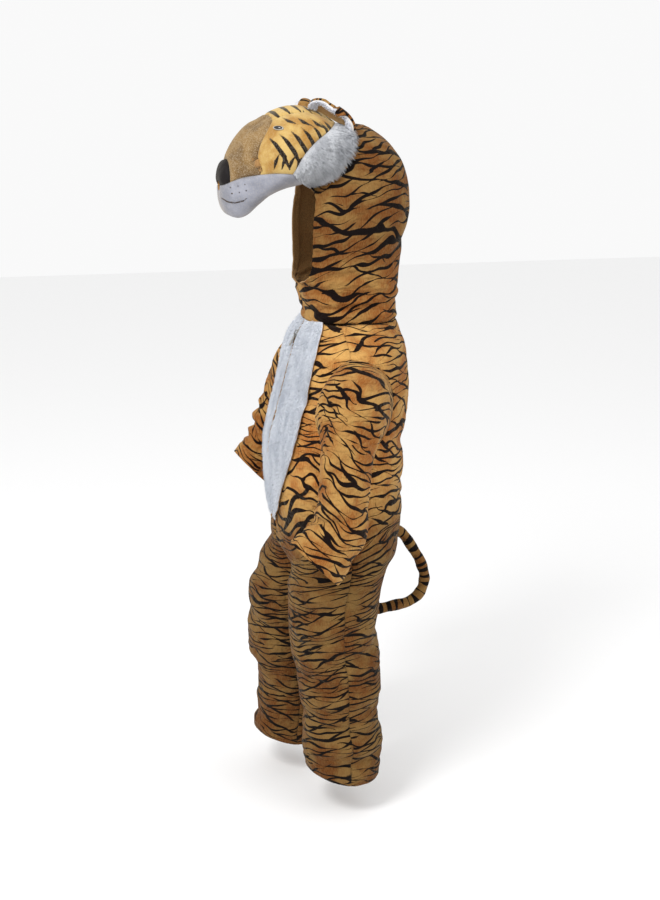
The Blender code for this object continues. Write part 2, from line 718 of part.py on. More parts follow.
def make_hood():
    for side, side_name in SIDES.items():
        def form(height, share, side=side):
            edge = math.radians(FACE_OPENING.at(height)[0])
            return hood_point(height, side * (edge + share * (math.pi - edge)))

        def rise(height, share):
            edge = FACE_OPENING.at(height)[0]
            calm = smooth_step(NECK_HEIGHT, NECK_HEIGHT + 0.008, height)
            return calm * fold_rise(HOOD_FOLDS, height, edge + share * (180 - edge))

        places = [[(height, j / HOOD_COLUMNS) for j in range(HOOD_COLUMNS + 1)] for height in HOOD_ROWS]
        made = form_wall(f"hood_{side_name}", form, places, "tiger", rise,
                         lambda h, s: rise(h, s) - CLOTH, BODY_STEPS, body_middle, level_rows=(0,))
        for vertex in made.data.vertices:
            vertex.co.x = side * max(side * vertex.co.x, SEAM_GAP / 2)


def face_point(y, angle):
    """A point of the face; the angle runs from its underside up over the side to the top."""
    bottom, middle, top, half_width = FACE.at(y)
    across, below = rounded(angle, FACE_ROUND)
    drop = middle - bottom if below > 0 else top - middle
    return Vector((half_width * across, y, middle - below * drop))


def face_angle(y, height):
    """Angle on the face, left side, of a height seen from the side."""
    bottom, middle, top, _ = FACE.at(y)
    drop = middle - bottom if height < middle else top - middle
    part = min(abs(height - middle) / drop, 1.0) ** (FACE_ROUND / 2)
    turn = math.acos(part)
    return turn if height < middle else math.pi - turn


def seam_place(table, share):
    y, height = table.at(share)
    return y, face_angle(y, height)


def between(a, b, part):
    return tuple(p + (q - p) * part for p, q in zip(a, b))


def pillow(i, rows, j, columns, power=2.6):
    """A padded piece's crown: 1 in the middle and 0 along its seams."""
    u = abs(2 * i / (rows - 1) - 1)
    v = abs(2 * j / (columns - 1) - 1)
    return (1 - u ** power) * (1 - v ** power)


def face_middle(point):
    return Vector((0.0, max(point.y, -0.14), 1.01))


FACE_STEPS = (1e-4, 1e-3)


def face_wall(name, places, finish, crown, depth=FACE_PLUSH, lift=0.0, edges=EVERY_EDGE):
    """A padded piece on the face, whose crown rises between its seams."""
    rows = len(places)
    columns = len(places[0])
    crowns = {}
    for i in range(rows):
        for j in range(columns):
            crowns[places[i][j]] = crown * pillow(i, rows, j, columns)
    return form_wall(name, face_point, places, finish, lambda *place: lift + crowns[place],
                     lambda *place: -depth, FACE_STEPS, face_middle, edges=edges)


def mirrored(places, side):
    return [[(y, side * angle) for y, angle in row] for row in places]


def run(start, end, count):
    """Places from start up to, but without, end."""
    return [between(start, end, i / count) for i in range(count)]


def over_top(side_place, y):
    """A row from a place on the left side over the top to its mirror on the right."""
    half = run(side_place, (y, math.pi), TOP_PARTS // 2)
    return half + [(y, math.pi)] + [(p, 2 * math.pi - angle) for p, angle in reversed(half)]


def muzzle_seam(start, end, count):
    """Places on the muzzle's upper seam, evenly between two y."""
    ys = [start + (end - start) * i / count for i in range(count)]
    return [(y, face_angle(y, MUZZLE_EDGE.at(y)[0])) for y in ys]


def make_face():
    cheek_low = seam_place(CHEEK_FRONT, 0)
    tuft_low = seam_place(CHEEK_REAR, 0)
    tuft_end = seam_place(TUFT_REAR, 0)
    nose_side = muzzle_seam(FACE_TIP, NOSE_REAR, NOSE_PARTS)
    snout_side = muzzle_seam(NOSE_REAR, cheek_low[0], SNOUT_PARTS)
    seam = nose_side + snout_side + run(cheek_low, tuft_low, CHEEK_LONG)
    seam += run(tuft_low, tuft_end, TUFT_LONG) + [tuft_end]
    muzzle = [[(y, edge * (2 * j / MUZZLE_COLUMNS - 1)) for j in range(MUZZLE_COLUMNS + 1)]
              for y, edge in seam]
    face_wall("muzzle", muzzle, "white", MUZZLE_CROWN)

    nose = [over_top(place, place[0]) for place in nose_side + snout_side[:1]]
    face_wall("nose", nose, "black", NOSE_CROWN)

    shares = [i / CHEEK_TALL for i in range(CHEEK_TALL + 1)]
    front = [seam_place(CHEEK_FRONT, share) for share in shares]
    rear = [seam_place(CHEEK_REAR, share) for share in shares]
    back = [seam_place(TUFT_REAR, share) for share in shares]
    bridge_side = snout_side + front
    last = len(bridge_side) - 1
    bridge = [over_top(place, NOSE_REAR + (front[-1][0] - NOSE_REAR) * (i / last) ** BRIDGE_SWEEP)
              for i, place in enumerate(bridge_side)]
    face_wall("snout_bridge", bridge, "tan", BRIDGE_CROWN)

    top_seam = run(front[-1], rear[-1], CHEEK_LONG) + [rear[-1]]
    forehead = [over_top(place, place[0]) for place in top_seam]
    face_wall("forehead", forehead, "yellow", FOREHEAD_CROWN)

    cheek = [run(a, b, CHEEK_LONG) + [b] for a, b in zip(front, rear)]
    tuft = [run(a, b, TUFT_LONG) + [b] for a, b in zip(rear, back)]
    for side, side_name in SIDES.items():
        face_wall(f"cheek_{side_name}", mirrored(cheek, side), "yellow", CHEEK_CROWN)
        face_wall(f"tuft_{side_name}", mirrored(tuft, side), "white", TUFT_CROWN, depth=TUFT_PLUSH)


EAR_FRONT = (-0.0600, 0.036)     # y and distance out of the ear's two lower corners
EAR_REAR = (-0.0020, 0.066)
EAR_SEAT = 0.0003                # above the padded pieces that carry it
EAR_SEARCH = 0.040               # where the search for those pieces starts, above the form
EAR_HEIGHT = 0.019
EAR_LEAN = Vector((0.45, 0.0, 0.90)).normalized()
EAR_CUP = 0.007
EAR_PLUSH = 0.0042
EAR_ROUND = 2.4
EAR_ROWS = [0.0, 0.25, 0.5, 0.72, 0.88, 0.97]
EAR_COLUMNS = 8


def face_top(y, out):
    """The point on top of the face's form at a distance out."""
    _, middle, top, half_width = FACE.at(y)
    rise = (1 - (out / half_width) ** FACE_ROUND) ** (1 / FACE_ROUND)
    return Vector((out, y, middle + (top - middle) * rise))


def carriers():
    """The surface of the pieces that carry the left ear."""
    points = []
    faces = []
    for name in ("forehead", "cheek_left", "tuft_left"):
        mesh = bpy.data.objects[name].data
        faces += [[len(points) + i for i in face.vertices] for face in mesh.polygons]
        points += [vertex.co + Vector((0, 0, SHOULDER_HEIGHT)) for vertex in mesh.vertices]
    return BVHTree.FromPolygons(points, faces)


def ear_ground(face):
    """Table of how far above the face's form the ear's lower edge must lie to clear what
    carries it, over the ear's whole thickness."""
    surface = carriers()
    rows = []
    for j in range(EAR_COLUMNS):
        along = 2 * j / (EAR_COLUMNS - 1) - 1
        needed = []
        for layer in range(5):
            thick = (2 * EAR_PLUSH + SEAM_GAP) * layer / 4
            start = ear_line(along, 1.0) - face * (EAR_CUP * (1 - along * along) - thick)
            distance = surface.ray_cast(start + EAR_LEAN * EAR_SEARCH, -EAR_LEAN)[3]
            if distance is not None:
                needed.append(EAR_SEARCH - distance + EAR_SEAT)
        rows.append((along, max(needed)))
    return Table("along height", rows)


def ear_line(along, wide):
    """A point of the ear's lower edge on the face's form."""
    ends = [Vector((*end, 0.0)) for end in (EAR_FRONT, EAR_REAR)]
    place = ends[0].lerp(ends[1], 0.5 + 0.5 * along * wide)
    return face_top(place.x, place.y)


def make_ears():
    chord = (face_top(*EAR_REAR) - face_top(*EAR_FRONT)).normalized()
    face = chord.cross(EAR_LEAN).normalized()
    ground = ear_ground(face)
    for side, side_name in SIDES.items():
        def form(up, along):
            wide = (1 - min(abs(up), 1.0) ** EAR_ROUND) ** (1 / EAR_ROUND)
            hollow = EAR_CUP * (1 - along * along) * (1 - up * up)
            lift = ground.at(along)[0] + EAR_HEIGHT * up
            point = ear_line(along, wide) + EAR_LEAN * lift - face * hollow
            return Vector((side * point.x, point.y, point.z))

        places = [[(up, 2 * j / (EAR_COLUMNS - 1) - 1) for j in range(EAR_COLUMNS)] for up in EAR_ROWS]

        def beyond(point):
            return Vector((side * 0.2, -0.15, 1.0))

        for layer, (name, finish) in enumerate((("front", "white"), ("back", "tiger"))):
            start = layer * (EAR_PLUSH + SEAM_GAP)
            form_wall(f"ear_{side_name}_{name}", form, places, finish,
                      lambda *place: start, lambda *place: start + EAR_PLUSH,
                      (1e-4, 1e-4), beyond, edges=())


EYE_CENTRE = (-0.1090, 1.0750)
EYE_HALF = 0.0085
EYE_ROWS = 5
EYE_COLUMNS = 6
EYE_SEAT = 0.0055           # over the padding that it is sewn to
EYE_THICK = 0.0012
EYE_CROWN = 0.0030


def make_eyes():
    for side, side_name in SIDES.items():
        places = []
        for i in range(EYE_ROWS):
            up = 2 * i / (EYE_ROWS - 1) - 1
            height = EYE_CENTRE[1] + EYE_HALF * 0.8 * up
            reach = EYE_HALF * math.sqrt(1 - 0.75 * up * up)
            row = []
            for j in range(EYE_COLUMNS):
                y = EYE_CENTRE[0] + reach * (2 * j / (EYE_COLUMNS - 1) - 1)
                row.append((y, side * face_angle(y, height)))
            places.append(row)
        crowns = {}
        for i, row in enumerate(places):
            for j, place in enumerate(row):
                crowns[place] = EYE_CROWN * pillow(i, EYE_ROWS, j, EYE_COLUMNS)
        form_wall(f"eye_{side_name}", face_point, places, "black",
                  lambda *place: EYE_SEAT + EYE_THICK + crowns[place], lambda *place: EYE_SEAT,
                  FACE_STEPS, face_middle, edges=())


def belly_angle(height, out):
    """Angle on the torso at a distance out from the centre front."""
    half_width = TORSO.at(height)[0]
    return math.asin((out / half_width) ** (BODY_ROUND / 2))


def torso_rise(height, angle):
    side = 1 if angle >= 0 else -1
    quarter = math.pi / 2 - armhole_reach(height)
    return panel_rise(side, 1)(height, min(abs(angle) / quarter, 1.0))


def front_heights(low, high):
    """Heights of the panels' rows between two heights, so what lies on them follows them."""
    return [height for height in reversed(PANEL_ROWS) if low < height < high]


def make_belly():
    rows = [BELLY_POINT] + front_heights(BELLY_POINT + BELLY_STEP, NECK_HEIGHT)
    columns = 6
    for side, side_name in SIDES.items():
        places = []
        for height in rows:
            inner = belly_angle(height, TAPE_HALF + SEAM_GAP)
            outer = max(math.radians(BELLY.at(height)[0]), inner + BELLY_LEAST)
            places.append([(height, side * (inner + (outer - inner) * j / (columns - 1)))
                           for j in range(columns)])
        crowns = {}
        for i, row in enumerate(places):
            for j, place in enumerate(row):
                ends = 1 - abs(2 * i / (len(rows) - 1) - 1) ** 12
                sides = 1 - abs(2 * j / (columns - 1) - 1) ** 6
                crowns[place] = FUR_BACKING + (FUR - FUR_BACKING) * ends * sides
        form_wall(f"belly_{side_name}", torso_point, places, "belly",
                  lambda *place: torso_rise(*place) + LAID_ON + crowns[place],
                  lambda *place: torso_rise(*place) + LAID_ON, (1e-4, 1e-3), body_middle, edges=())


def make_zip():
    """The zip's tape and chain over the centre front seam."""
    heights = [ZIP_BOTTOM] + front_heights(ZIP_BOTTOM, ZIP_TOP) + [ZIP_TOP]
    places = []
    for height in heights:
        outer = belly_angle(height, TAPE_HALF)
        places.append([(height, outer * (j - 1)) for j in range(3)])
    form_wall("zip_tape", torso_point, places, "tape",
              lambda *place: torso_rise(*place) + LAID_ON + TAPE_THICK,
              lambda *place: torso_rise(*place) + LAID_ON, (1e-4, 1e-3), body_middle, edges=())


def box_points(low, high):
    return [(x, y, z) for x in (low[0], high[0]) for y in (low[1], high[1]) for z in (low[2], high[2])]


BOX_FACES = [(0, 1, 3, 2), (4, 6, 7, 5), (0, 4, 5, 1), (2, 3, 7, 6), (0, 2, 6, 4), (1, 5, 7, 3)]


def holed_plate(outline, hole, low, high, way):
    """Points and faces of a plate with a rectangular hole that runs along the axis way, 0 or
    1. outline and hole give the least and greatest distance across and up."""
    points = []
    for depth in (low, high):
        for (left, right), (bottom, top) in (outline, hole):
            for across, up in ((left, bottom), (right, bottom), (right, top), (left, top)):
                points.append((depth, across, up) if way == 0 else (across, depth, up))
    faces = []
    for i in range(4):
        k = (i + 1) % 4
        faces.append((i, k, 4 + k, 4 + i))
        faces.append((8 + i, 12 + i, 12 + k, 8 + k))
        faces.append((i, 8 + i, 8 + k, k))
        faces.append((4 + i, 4 + k, 12 + k, 12 + i))
    return points, faces


def make_slider():
    """The slider's plate with its arch, and the tab whose cross strand turns under the arch.
    Both are made upright at the slider's middle and then laid on the slope of the chest."""
    above = torso_point(SLIDER_HEIGHT + PLATE_SIZE.z / 2, 0.0)
    below = torso_point(SLIDER_HEIGHT - PLATE_SIZE.z / 2, 0.0)
    seat = torso_point(SLIDER_HEIGHT, 0.0)
    slope = math.atan2(above.y - below.y, above.z - below.z)
    outward = Vector((0.0, -math.cos(slope), math.sin(slope)))
    seat = seat + outward * (LAID_ON + TAPE_THICK + SLIDER_PLAY)
    half = PLATE_SIZE / 2
    plate_front = -PLATE_SIZE.y
    arch_half = ARCH_TALL / 2
    strand_y = plate_front - ARCH_GAP / 2
    strand_z = -arch_half + ARCH_BAR + TAB_THICK / 2 + STRAND_PLAY
    half_thick = TAB_THICK / 2
    lift = Vector((0, 0, SHOULDER_HEIGHT))

    plate = add_mesh("zip_slider", [Vector(p) + lift for p in box_points(
        (-half.x, plate_front, -half.z), (half.x, 0.0, half.z))], BOX_FACES, "metal", 30)
    points, faces = holed_plate(
        ((plate_front - ARCH_GAP - ARCH_BAR, plate_front + ARCH_BAR), (-arch_half, arch_half)),
        ((plate_front - ARCH_GAP, plate_front + ARCH_BAR / 2),
         (-arch_half + ARCH_BAR, arch_half - ARCH_BAR)), -ARCH_WIDE / 2, ARCH_WIDE / 2, 0)
    arch = add_mesh("arch_former", [Vector(p) + lift for p in points], faces, "metal", 30)
    arch.hide_render = True
    arch.display_type = "WIRE"
    join = plate.modifiers.new("arch", "BOOLEAN")
    join.operation = "UNION"
    join.object = arch

    points, faces = holed_plate(
        ((-TAB_WIDE / 2, TAB_WIDE / 2), (half_thick - TAB_LENGTH, half_thick)),
        ((-TAB_SLOT_WIDE / 2, TAB_SLOT_WIDE / 2), (-half_thick - TAB_SLOT_TALL, -half_thick)),
        -half_thick, half_thick, 1)
    tab = add_mesh("zip_pull", [Vector(p) + lift for p in points], faces, "metal", 30)
    place = Matrix.Translation(seat - lift) @ Matrix.Rotation(-slope, 4, "X")
    plate.matrix_world = place
    arch.matrix_world = place
    tab.matrix_world = place @ Matrix.Translation((0.0, strand_y, strand_z))


def route_curve(points, count):
    """Points spread evenly in number along a smooth curve through a route."""
    table = Table("share x y z", [(i, *point) for i, point in enumerate(points)])
    last = len(points) - 1
    return [Vector(table.at(last * i / count)) for i in range(count + 1)]


def make_tail():
    centres = route_curve(TAIL_ROUTE, TAIL_RINGS)
    points = []
    count = len(centres)
    start_face = torso_point(TAIL_ROUTE[0][2] + TAIL_RADIUS, math.pi).y
    side_way = Vector((1.0, 0.0, 0.0))
    for i, centre in enumerate(centres):
        ahead = centres[min(i + 1, count - 1)] - centres[max(i - 1, 0)]
        ahead.normalize()
        up = side_way.cross(ahead).normalized()
        across = ahead.cross(up).normalized()
        end = (count - 1 - i) / 2.2
        radius = TAIL_RADIUS * (math.sqrt(max(1 - (1 - end) ** 2, 0.06)) if end < 1 else 1.0)
        for j in range(TAIL_SIDES):
            turn = 2 * math.pi * j / TAIL_SIDES
            point = centre + (up * math.cos(turn) + across * math.sin(turn)) * radius
            if i == 0:
                point.y = start_face
            points.append(point)
    faces = [tuple(range(TAIL_SIDES)), tuple(range((count - 1) * TAIL_SIDES, count * TAIL_SIDES))[::-1]]
    for i in range(count - 1):
        for j in range(TAIL_SIDES):
            k = (j + 1) % TAIL_SIDES
            faces.append((i * TAIL_SIDES + j, (i + 1) * TAIL_SIDES + j,
                          (i + 1) * TAIL_SIDES + k, i * TAIL_SIDES + k))
    add_mesh("tail", points, faces, "tiger")


clear_scene()
make_body()
make_sleeves()
make_hood()
make_face()
make_ears()
make_eyes()
make_belly()
make_zip()
make_slider()
make_tail()
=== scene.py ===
"""Looks of a child's one-piece tiger costume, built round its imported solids.

Metres, +Z up, the costume faces -Y, the wearer's left is +X. Heights in the tables are
above the soles, as in the part's source, and SHOULDER_HEIGHT is taken off at the end.
"""
import math

import bmesh
import bpy
import numpy as np
from mathutils import Matrix, Vector, noise
from mathutils.bvhtree import BVHTree


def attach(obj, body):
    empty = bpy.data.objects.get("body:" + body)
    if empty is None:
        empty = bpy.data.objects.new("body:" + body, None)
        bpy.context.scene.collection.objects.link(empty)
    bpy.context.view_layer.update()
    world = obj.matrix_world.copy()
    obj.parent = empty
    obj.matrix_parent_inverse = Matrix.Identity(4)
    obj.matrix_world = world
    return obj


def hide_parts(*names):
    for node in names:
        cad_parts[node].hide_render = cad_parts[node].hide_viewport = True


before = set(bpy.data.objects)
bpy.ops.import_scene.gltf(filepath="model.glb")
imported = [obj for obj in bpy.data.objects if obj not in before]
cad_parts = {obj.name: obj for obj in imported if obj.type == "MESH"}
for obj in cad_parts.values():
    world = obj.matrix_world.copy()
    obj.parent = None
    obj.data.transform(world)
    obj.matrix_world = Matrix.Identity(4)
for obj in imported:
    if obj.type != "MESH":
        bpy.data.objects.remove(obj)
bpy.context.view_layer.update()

SHOULDER_HEIGHT = 0.760
CLOTH = 0.0022                 # wall of the plush with its backing
SEAM_GAP = 0.0003              # between two pieces that lie on each other
SEAM_MEET = 0.00002            # from the middle to the hood's halves
CELL = 0.0036                  # height of a row of the panels' grids
BODY_ROUND = 2.25              # powers of the rounded outlines, where 2 is an ellipse
LEG_ROUND = 2.1
SLEEVE_ROUND = 2.15
HOOD_ROUND = 2.5
FACE_ROUND = 2.3
SIDE_LINE = -0.020             # y of the side seams
HOOD_SIDE_LINE = 0.005
NECK_HEIGHT = 0.790
HIP_HEIGHT = 0.440
CROTCH_HEIGHT = 0.378
HEM_HEIGHT = 0.060
HEM_RISE = 0.016
ARMHOLE_TOP = 0.745
ARMHOLE_BOTTOM = 0.608
ARMHOLE_MIDDLE = (ARMHOLE_TOP + ARMHOLE_BOTTOM) / 2
ARMHOLE_HALF = (ARMHOLE_TOP - ARMHOLE_BOTTOM) / 2
ARMHOLE_REACH = math.radians(33)
TROUGH = 1.5                   # how much deeper folds sink than they rise


MILLI = 1000                   # table units in a metre
BY_DEGREES = (MILLI, 1)
BY_SHARE = (1, MILLI, MILLI)
SLEEVE_UNITS = (1, MILLI, MILLI, MILLI, 1, 1, MILLI, MILLI)


class Table:
    """Rows of columns, keyed by the first, read with a smooth curve or straight. Lengths are in
    millimetres, and units says how much of each column makes one of what is read."""

    def __init__(self, rows, units=MILLI, straight=False):
        rows = np.array(sorted(rows), float) / units
        self.keys, self.values = rows[:, 0], rows[:, 1:]
        self.straight = straight
        after = np.minimum(np.arange(len(rows)) + 1, len(rows) - 1)
        before = np.maximum(np.arange(len(rows)) - 1, 0)
        self.slopes = (self.values[after] - self.values[before]) / (
            self.keys[after] - self.keys[before])[:, None]

    def at(self, key):
        """The columns after the first, as separate arrays of key's shape."""
        key = np.clip(np.asarray(key, float), self.keys[0], self.keys[-1])
        low = np.clip(np.searchsorted(self.keys, key, "right") - 1, 0, len(self.keys) - 2)
        span = (self.keys[low + 1] - self.keys[low])[..., None]
        part = (key - self.keys[low])[..., None] / span
        start, end = self.values[low], self.values[low + 1]
        if self.straight:
            found = start + (end - start) * part
        else:
            squared, cubed = part ** 2, part ** 3
            found = (start * (2 * cubed - 3 * squared + 1) + end * (3 * squared - 2 * cubed)
                     + self.slopes[low] * span * (cubed - 2 * squared + part)
                     + self.slopes[low + 1] * span * (cubed - squared))
        return [found[..., i] for i in range(found.shape[-1])]


# Height, half width, front and back
TORSO = Table([
    (790, 74, -52, 85), (776, 99, -60, 89), (762, 121, -68, 93), (745, 136, -73, 95),
    (718, 140, -81, 97), (680, 141, -91, 100), (640, 141, -102, 97), (600, 141, -112, 93),
    (560, 140, -113, 94), (520, 140, -111, 92), (480, 142, -107, 90), (440, 144, -108, 86),
    (370, 146, -112, 70),
])
# Height, out, y, half width and half depth
LEFT_LEG = Table([
    (440, 74, -20, 71.5, 82), (378, 76.5, -30, 73.5, 73), (320, 77, -33, 71, 71),
    (266, 77, -28, 67.5, 70), (231, 77, -23, 65, 67), (196, 78, -23, 62.5, 63.5),
    (161, 79, -21, 61, 61), (126, 80, -17, 63, 65), (90, 80, -18, 60, 62), (60, 80, -18, 57, 58),
])
RIGHT_LEG = Table([
    (440, 74, -24, 71.5, 82), (378, 76.5, -46, 73.5, 73), (350, 77, -62, 72, 69),
    (310, 78, -69, 70, 68), (265, 79, -72, 67.5, 65), (223, 80, -73, 65, 63), (190, 81, -66, 61, 58),
    (160, 82, -64, 60, 56), (110, 83, -65, 61, 56.5), (77, 83, -69, 60, 58.5), (60, 83, -69, 58, 58),
])
LEGS = {1: LEFT_LEG, -1: RIGHT_LEG}
# Steps along, out, y, height, lean and tilt in degrees, half widths out and fore
LEFT_SLEEVE = Table([
    (0, 139, -20, 676.5, -1, 0, 68, 63), (1, 155.5, -22, 670.5, 11, 0, 67.7, 56),
    (2, 168, -26, 657.5, 22, 0, 62, 50), (3, 176, -31, 638.5, 34, 1, 54, 45),
    (4, 178.5, -36, 615, 48, 2, 44.6, 41), (5, 179, -40, 587.5, 62, 3, 37.8, 38.5),
    (6, 179, -43, 556.5, 76, 7, 34.6, 38.5), (7, 179, -44, 528, 85, 16, 33.6, 40.5),
    (8, 178, -51, 500, 90, 30, 34, 43.5), (9, 175.5, -67, 474, 90, 41, 36, 46.5),
    (10, 172, -86, 452.5, 90, 45, 38, 48),
], SLEEVE_UNITS)
RIGHT_SLEEVE = Table([
    (0, 139, -20, 676.5, -1, 0, 68, 63), (1, 155.5, -22, 670.5, 11, 0, 67.7, 56),
    (2, 168, -26, 658.5, 22, 0, 62, 50), (3, 176, -36, 641, 34, 5, 54, 47),
    (4, 179.5, -47, 620, 48, 11, 44.6, 44), (5, 181, -56, 599, 62, 20, 37.8, 43),
    (6, 181, -65, 579, 76, 29, 35, 43), (7, 180, -74, 558, 85, 37, 34.5, 43.5),
    (8, 177.5, -85, 537, 90, 43, 35.5, 44.5), (9, 174, -96, 520, 90, 45, 37, 45.5),
    (10, 171, -107, 506, 90, 46, 38, 46),
], SLEEVE_UNITS)
SLEEVES = {1: LEFT_SLEEVE, -1: RIGHT_SLEEVE}
SIDES = {1: "left", -1: "right"}
# Height, half width, front and back
HOOD = Table([
    (790, 73, -60, 83), (815, 73, -62, 83), (845, 77, -72, 85), (880, 81, -84, 88), (920, 85, -87, 96),
    (960, 88, -83, 102), (985, 88, -70, 101), (998, 87, -61, 99), (1005, 87, -58, 97),
    (1030, 83, -54, 88), (1050, 75, -48, 73), (1065, 60, -41, 58), (1075, 44, -34, 44),
    (1081, 26, -22, 32), (1084.5, 1.2, -6, 16),
])
# Height and the opening's edge in degrees
FACE_OPENING = Table([
    (790, 0), (844.9, 0), (846, 4), (852, 26), (860, 38), (875, 46), (900, 49), (960, 49), (975, 46),
    (986, 38), (993, 24), (997, 4), (998.5, 0), (1084.5, 0),
], BY_DEGREES, straight=True)
# Y, bottom, middle, top and half width
FACE = Table([
    (-189.5, 988, 994, 1000, 8), (-186, 968, 996, 1013, 23), (-178, 956, 998.5, 1032, 34),
    (-165, 950.5, 1003, 1055, 42.5), (-150, 954, 1010, 1073, 50), (-135, 966, 1020, 1085, 61.5),
    (-118, 980, 1028, 1095, 74), (-95, 990, 1033, 1104, 85), (-70, 994, 1035, 1107, 91),
    (-45, 996, 1034, 1101, 91.5), (-20, 996, 1030, 1090.5, 88.5), (10, 996, 1028, 1086, 88.5),
])
# Share of a seam, y and height
CHEEK_FRONT = Table([
    (0, -137, 1012), (0.25, -141, 1030), (0.5, -138, 1049), (0.75, -129, 1068), (1, -115, 1089),
], BY_SHARE)
CHEEK_REAR = Table([
    (0, -93, 1012), (0.25, -80, 1038), (0.5, -62, 1058), (0.75, -40, 1073), (1, -20, 1086),
], BY_SHARE)
TUFT_REAR = Table([
    (0, -68, 998.5), (0.25, -40, 1008), (0.5, -20, 1033), (0.75, -5, 1056), (1, -4, 1080),
], BY_SHARE)
# Y and height
MUZZLE_EDGE = Table([
    (-189.3, 994.5), (-165, 1006), (-137, 1012),
])
NOSE_REAR = -0.1775
FACE_TIP = -0.1893
BRIDGE_SWEEP = 1.7
# Height and the edge in degrees
BELLY = Table([
    (480, 3.5), (500, 12), (530, 20), (560, 28), (590, 35), (630, 38), (680, 39), (730, 41), (760, 44),
    (787, 50),
], BY_DEGREES)
# x, y and height
TAIL_ROUTE = [
    (0, 93, 437), (0, 107, 427), (1, 122, 404), (2, 136, 379), (3, 143, 350), (4, 134, 324),
    (4, 115, 311), (4, 93, 307), (4, 70, 304), (3, 50, 302),
]

# Folds: height, degrees round, slope a radian, reach in degrees, half width and rise. On the
# sleeves the height, slope and half width are in steps along.
TORSO_FOLDS = [
    (705, 70, -60, 50, 14, 4), (665, 55, -50, 40, 12, -3.5), (585, 75, 30, 45, 12, -4),
    (560, 95, 20, 60, 13, 4), (515, 70, -20, 55, 12, -3.5), (480, 120, -45, 60, 14, -4.5),
    (452, 105, -40, 60, 14, 4.5), (545, 165, 20, 45, 13, -3), (610, 150, -30, 45, 14, -3.5),
    (700, 150, 50, 40, 16, 3.5), (700, -65, 60, 50, 14, 4), (655, -60, 45, 40, 12, -3.5),
    (575, -80, -30, 50, 13, -4), (540, -95, -20, 60, 13, 4), (490, -75, 25, 55, 13, -4),
    (465, -125, 45, 60, 14, -4), (620, -150, 30, 45, 14, -3.5),
]
LEG_FOLDS = {
    1: [
        (352, 40, 18, 75, 12, -4.5), (330, 70, 22, 80, 11, 4), (300, 20, -15, 60, 11, -4),
        (272, 100, 18, 90, 12, -4.5), (235, 50, -12, 80, 12, -4.5), (205, 110, 10, 90, 11, 4),
        (178, 30, 16, 85, 11, -4.5), (148, 95, -14, 110, 10, -5), (122, 60, 12, 110, 11, 3.5),
        (98, 100, 12, 100, 9, -4.5), (320, 180, 20, 70, 13, -5), (240, 200, -20, 70, 12, -4),
        (165, 215, 16, 80, 11, -4.5), (110, 250, -10, 80, 10, -4),
    ],
    -1: [
        (355, 30, -20, 70, 12, -4.5), (325, 80, 16, 85, 12, 4), (292, 10, 16, 75, 12, -4.5),
        (255, 90, -18, 90, 12, -4.5), (215, 20, 14, 80, 12, 4), (192, 40, -14, 100, 11, -5.5),
        (155, 100, 12, 100, 11, -4.5), (128, 20, -10, 90, 10, 3.5), (100, 60, 10, 110, 10, -4.5),
        (300, 180, -20, 70, 13, -5), (225, 205, 18, 75, 12, -4.5), (150, 190, 14, 80, 11, -4.5),
        (105, 240, -10, 80, 10, -3.5),
    ],
}
SLEEVE_FOLDS = {
    1: [
        (2.6, 60, 0.5, 70, 0.45, -3.5), (3.8, 320, -0.6, 70, 0.45, -3.5), (5.2, 40, 0.6, 80, 0.4, -4),
        (6.3, 330, -0.5, 80, 0.4, -4.5), (7, 60, 0.4, 90, 0.38, 4), (7.7, 50, 0.5, 100, 0.35, -5),
        (8.6, 300, -0.4, 80, 0.35, -3.5), (9.2, 60, 0.4, 80, 0.35, 3),
    ],
    -1: [
        (2.8, 320, 0.5, 70, 0.45, -3.5), (4.2, 50, -0.5, 70, 0.45, -3.5), (5.4, 80, 0.4, 100, 0.4, -5),
        (6.2, 60, -0.4, 90, 0.4, 4), (7, 80, 0.4, 100, 0.35, -5), (8.2, 40, -0.4, 90, 0.35, -4),
    ],
}
HOOD_FOLDS = [
    (862, 75, 18, 70, 6, -3), (848, 100, -12, 90, 6, 3), (836, 60, -10, 110, 6, -3.5),
    (823, 95, 8, 120, 6, 3.5), (812, 60, 8, 130, 6, -3.5), (801, 110, -6, 130, 6, 3),
    (905, 150, 40, 60, 14, -3.5),
]
# Finer creases of the worn cloth, in the same columns
TORSO_CREASES = [
    (735, 95, 50, 26, 5, -1.8), (722, 60, -40, 30, 5, 1.6), (690, 85, -70, 30, 4.5, -1.8),
    (640, 62, -45, 26, 4.5, -1.6), (622, 88, -30, 30, 5, 1.6), (605, 60, 22, 34, 4.5, -1.8),
    (548, 62, 25, 36, 4.5, -1.7), (532, 100, -20, 40, 5, -1.8), (498, 92, -30, 36, 4.5, 1.6),
    (470, 78, -22, 44, 4.5, -2), (455, 40, 18, 38, 4.5, -1.8), (440, 82, -30, 46, 5, -2),
    (640, 128, 40, 36, 5.5, -1.8), (580, 140, 34, 34, 5, 1.6), (520, 150, -24, 40, 5, -1.8),
    (745, 140, 30, 30, 6, -1.6), (690, -85, 70, 30, 4.5, -1.8), (640, -66, 45, 28, 4.5, -1.6),
    (604, -62, -22, 34, 4.5, -1.8), (556, -74, -25, 36, 4.5, -1.7), (512, -88, 26, 36, 4.5, 1.6),
    (474, -70, 22, 44, 4.5, -2), (448, -48, -18, 40, 4.5, -1.8), (650, -130, -40, 36, 5.5, -1.8),
    (570, -142, -30, 34, 5, 1.6), (505, -155, 24, 40, 5, -1.8),
]
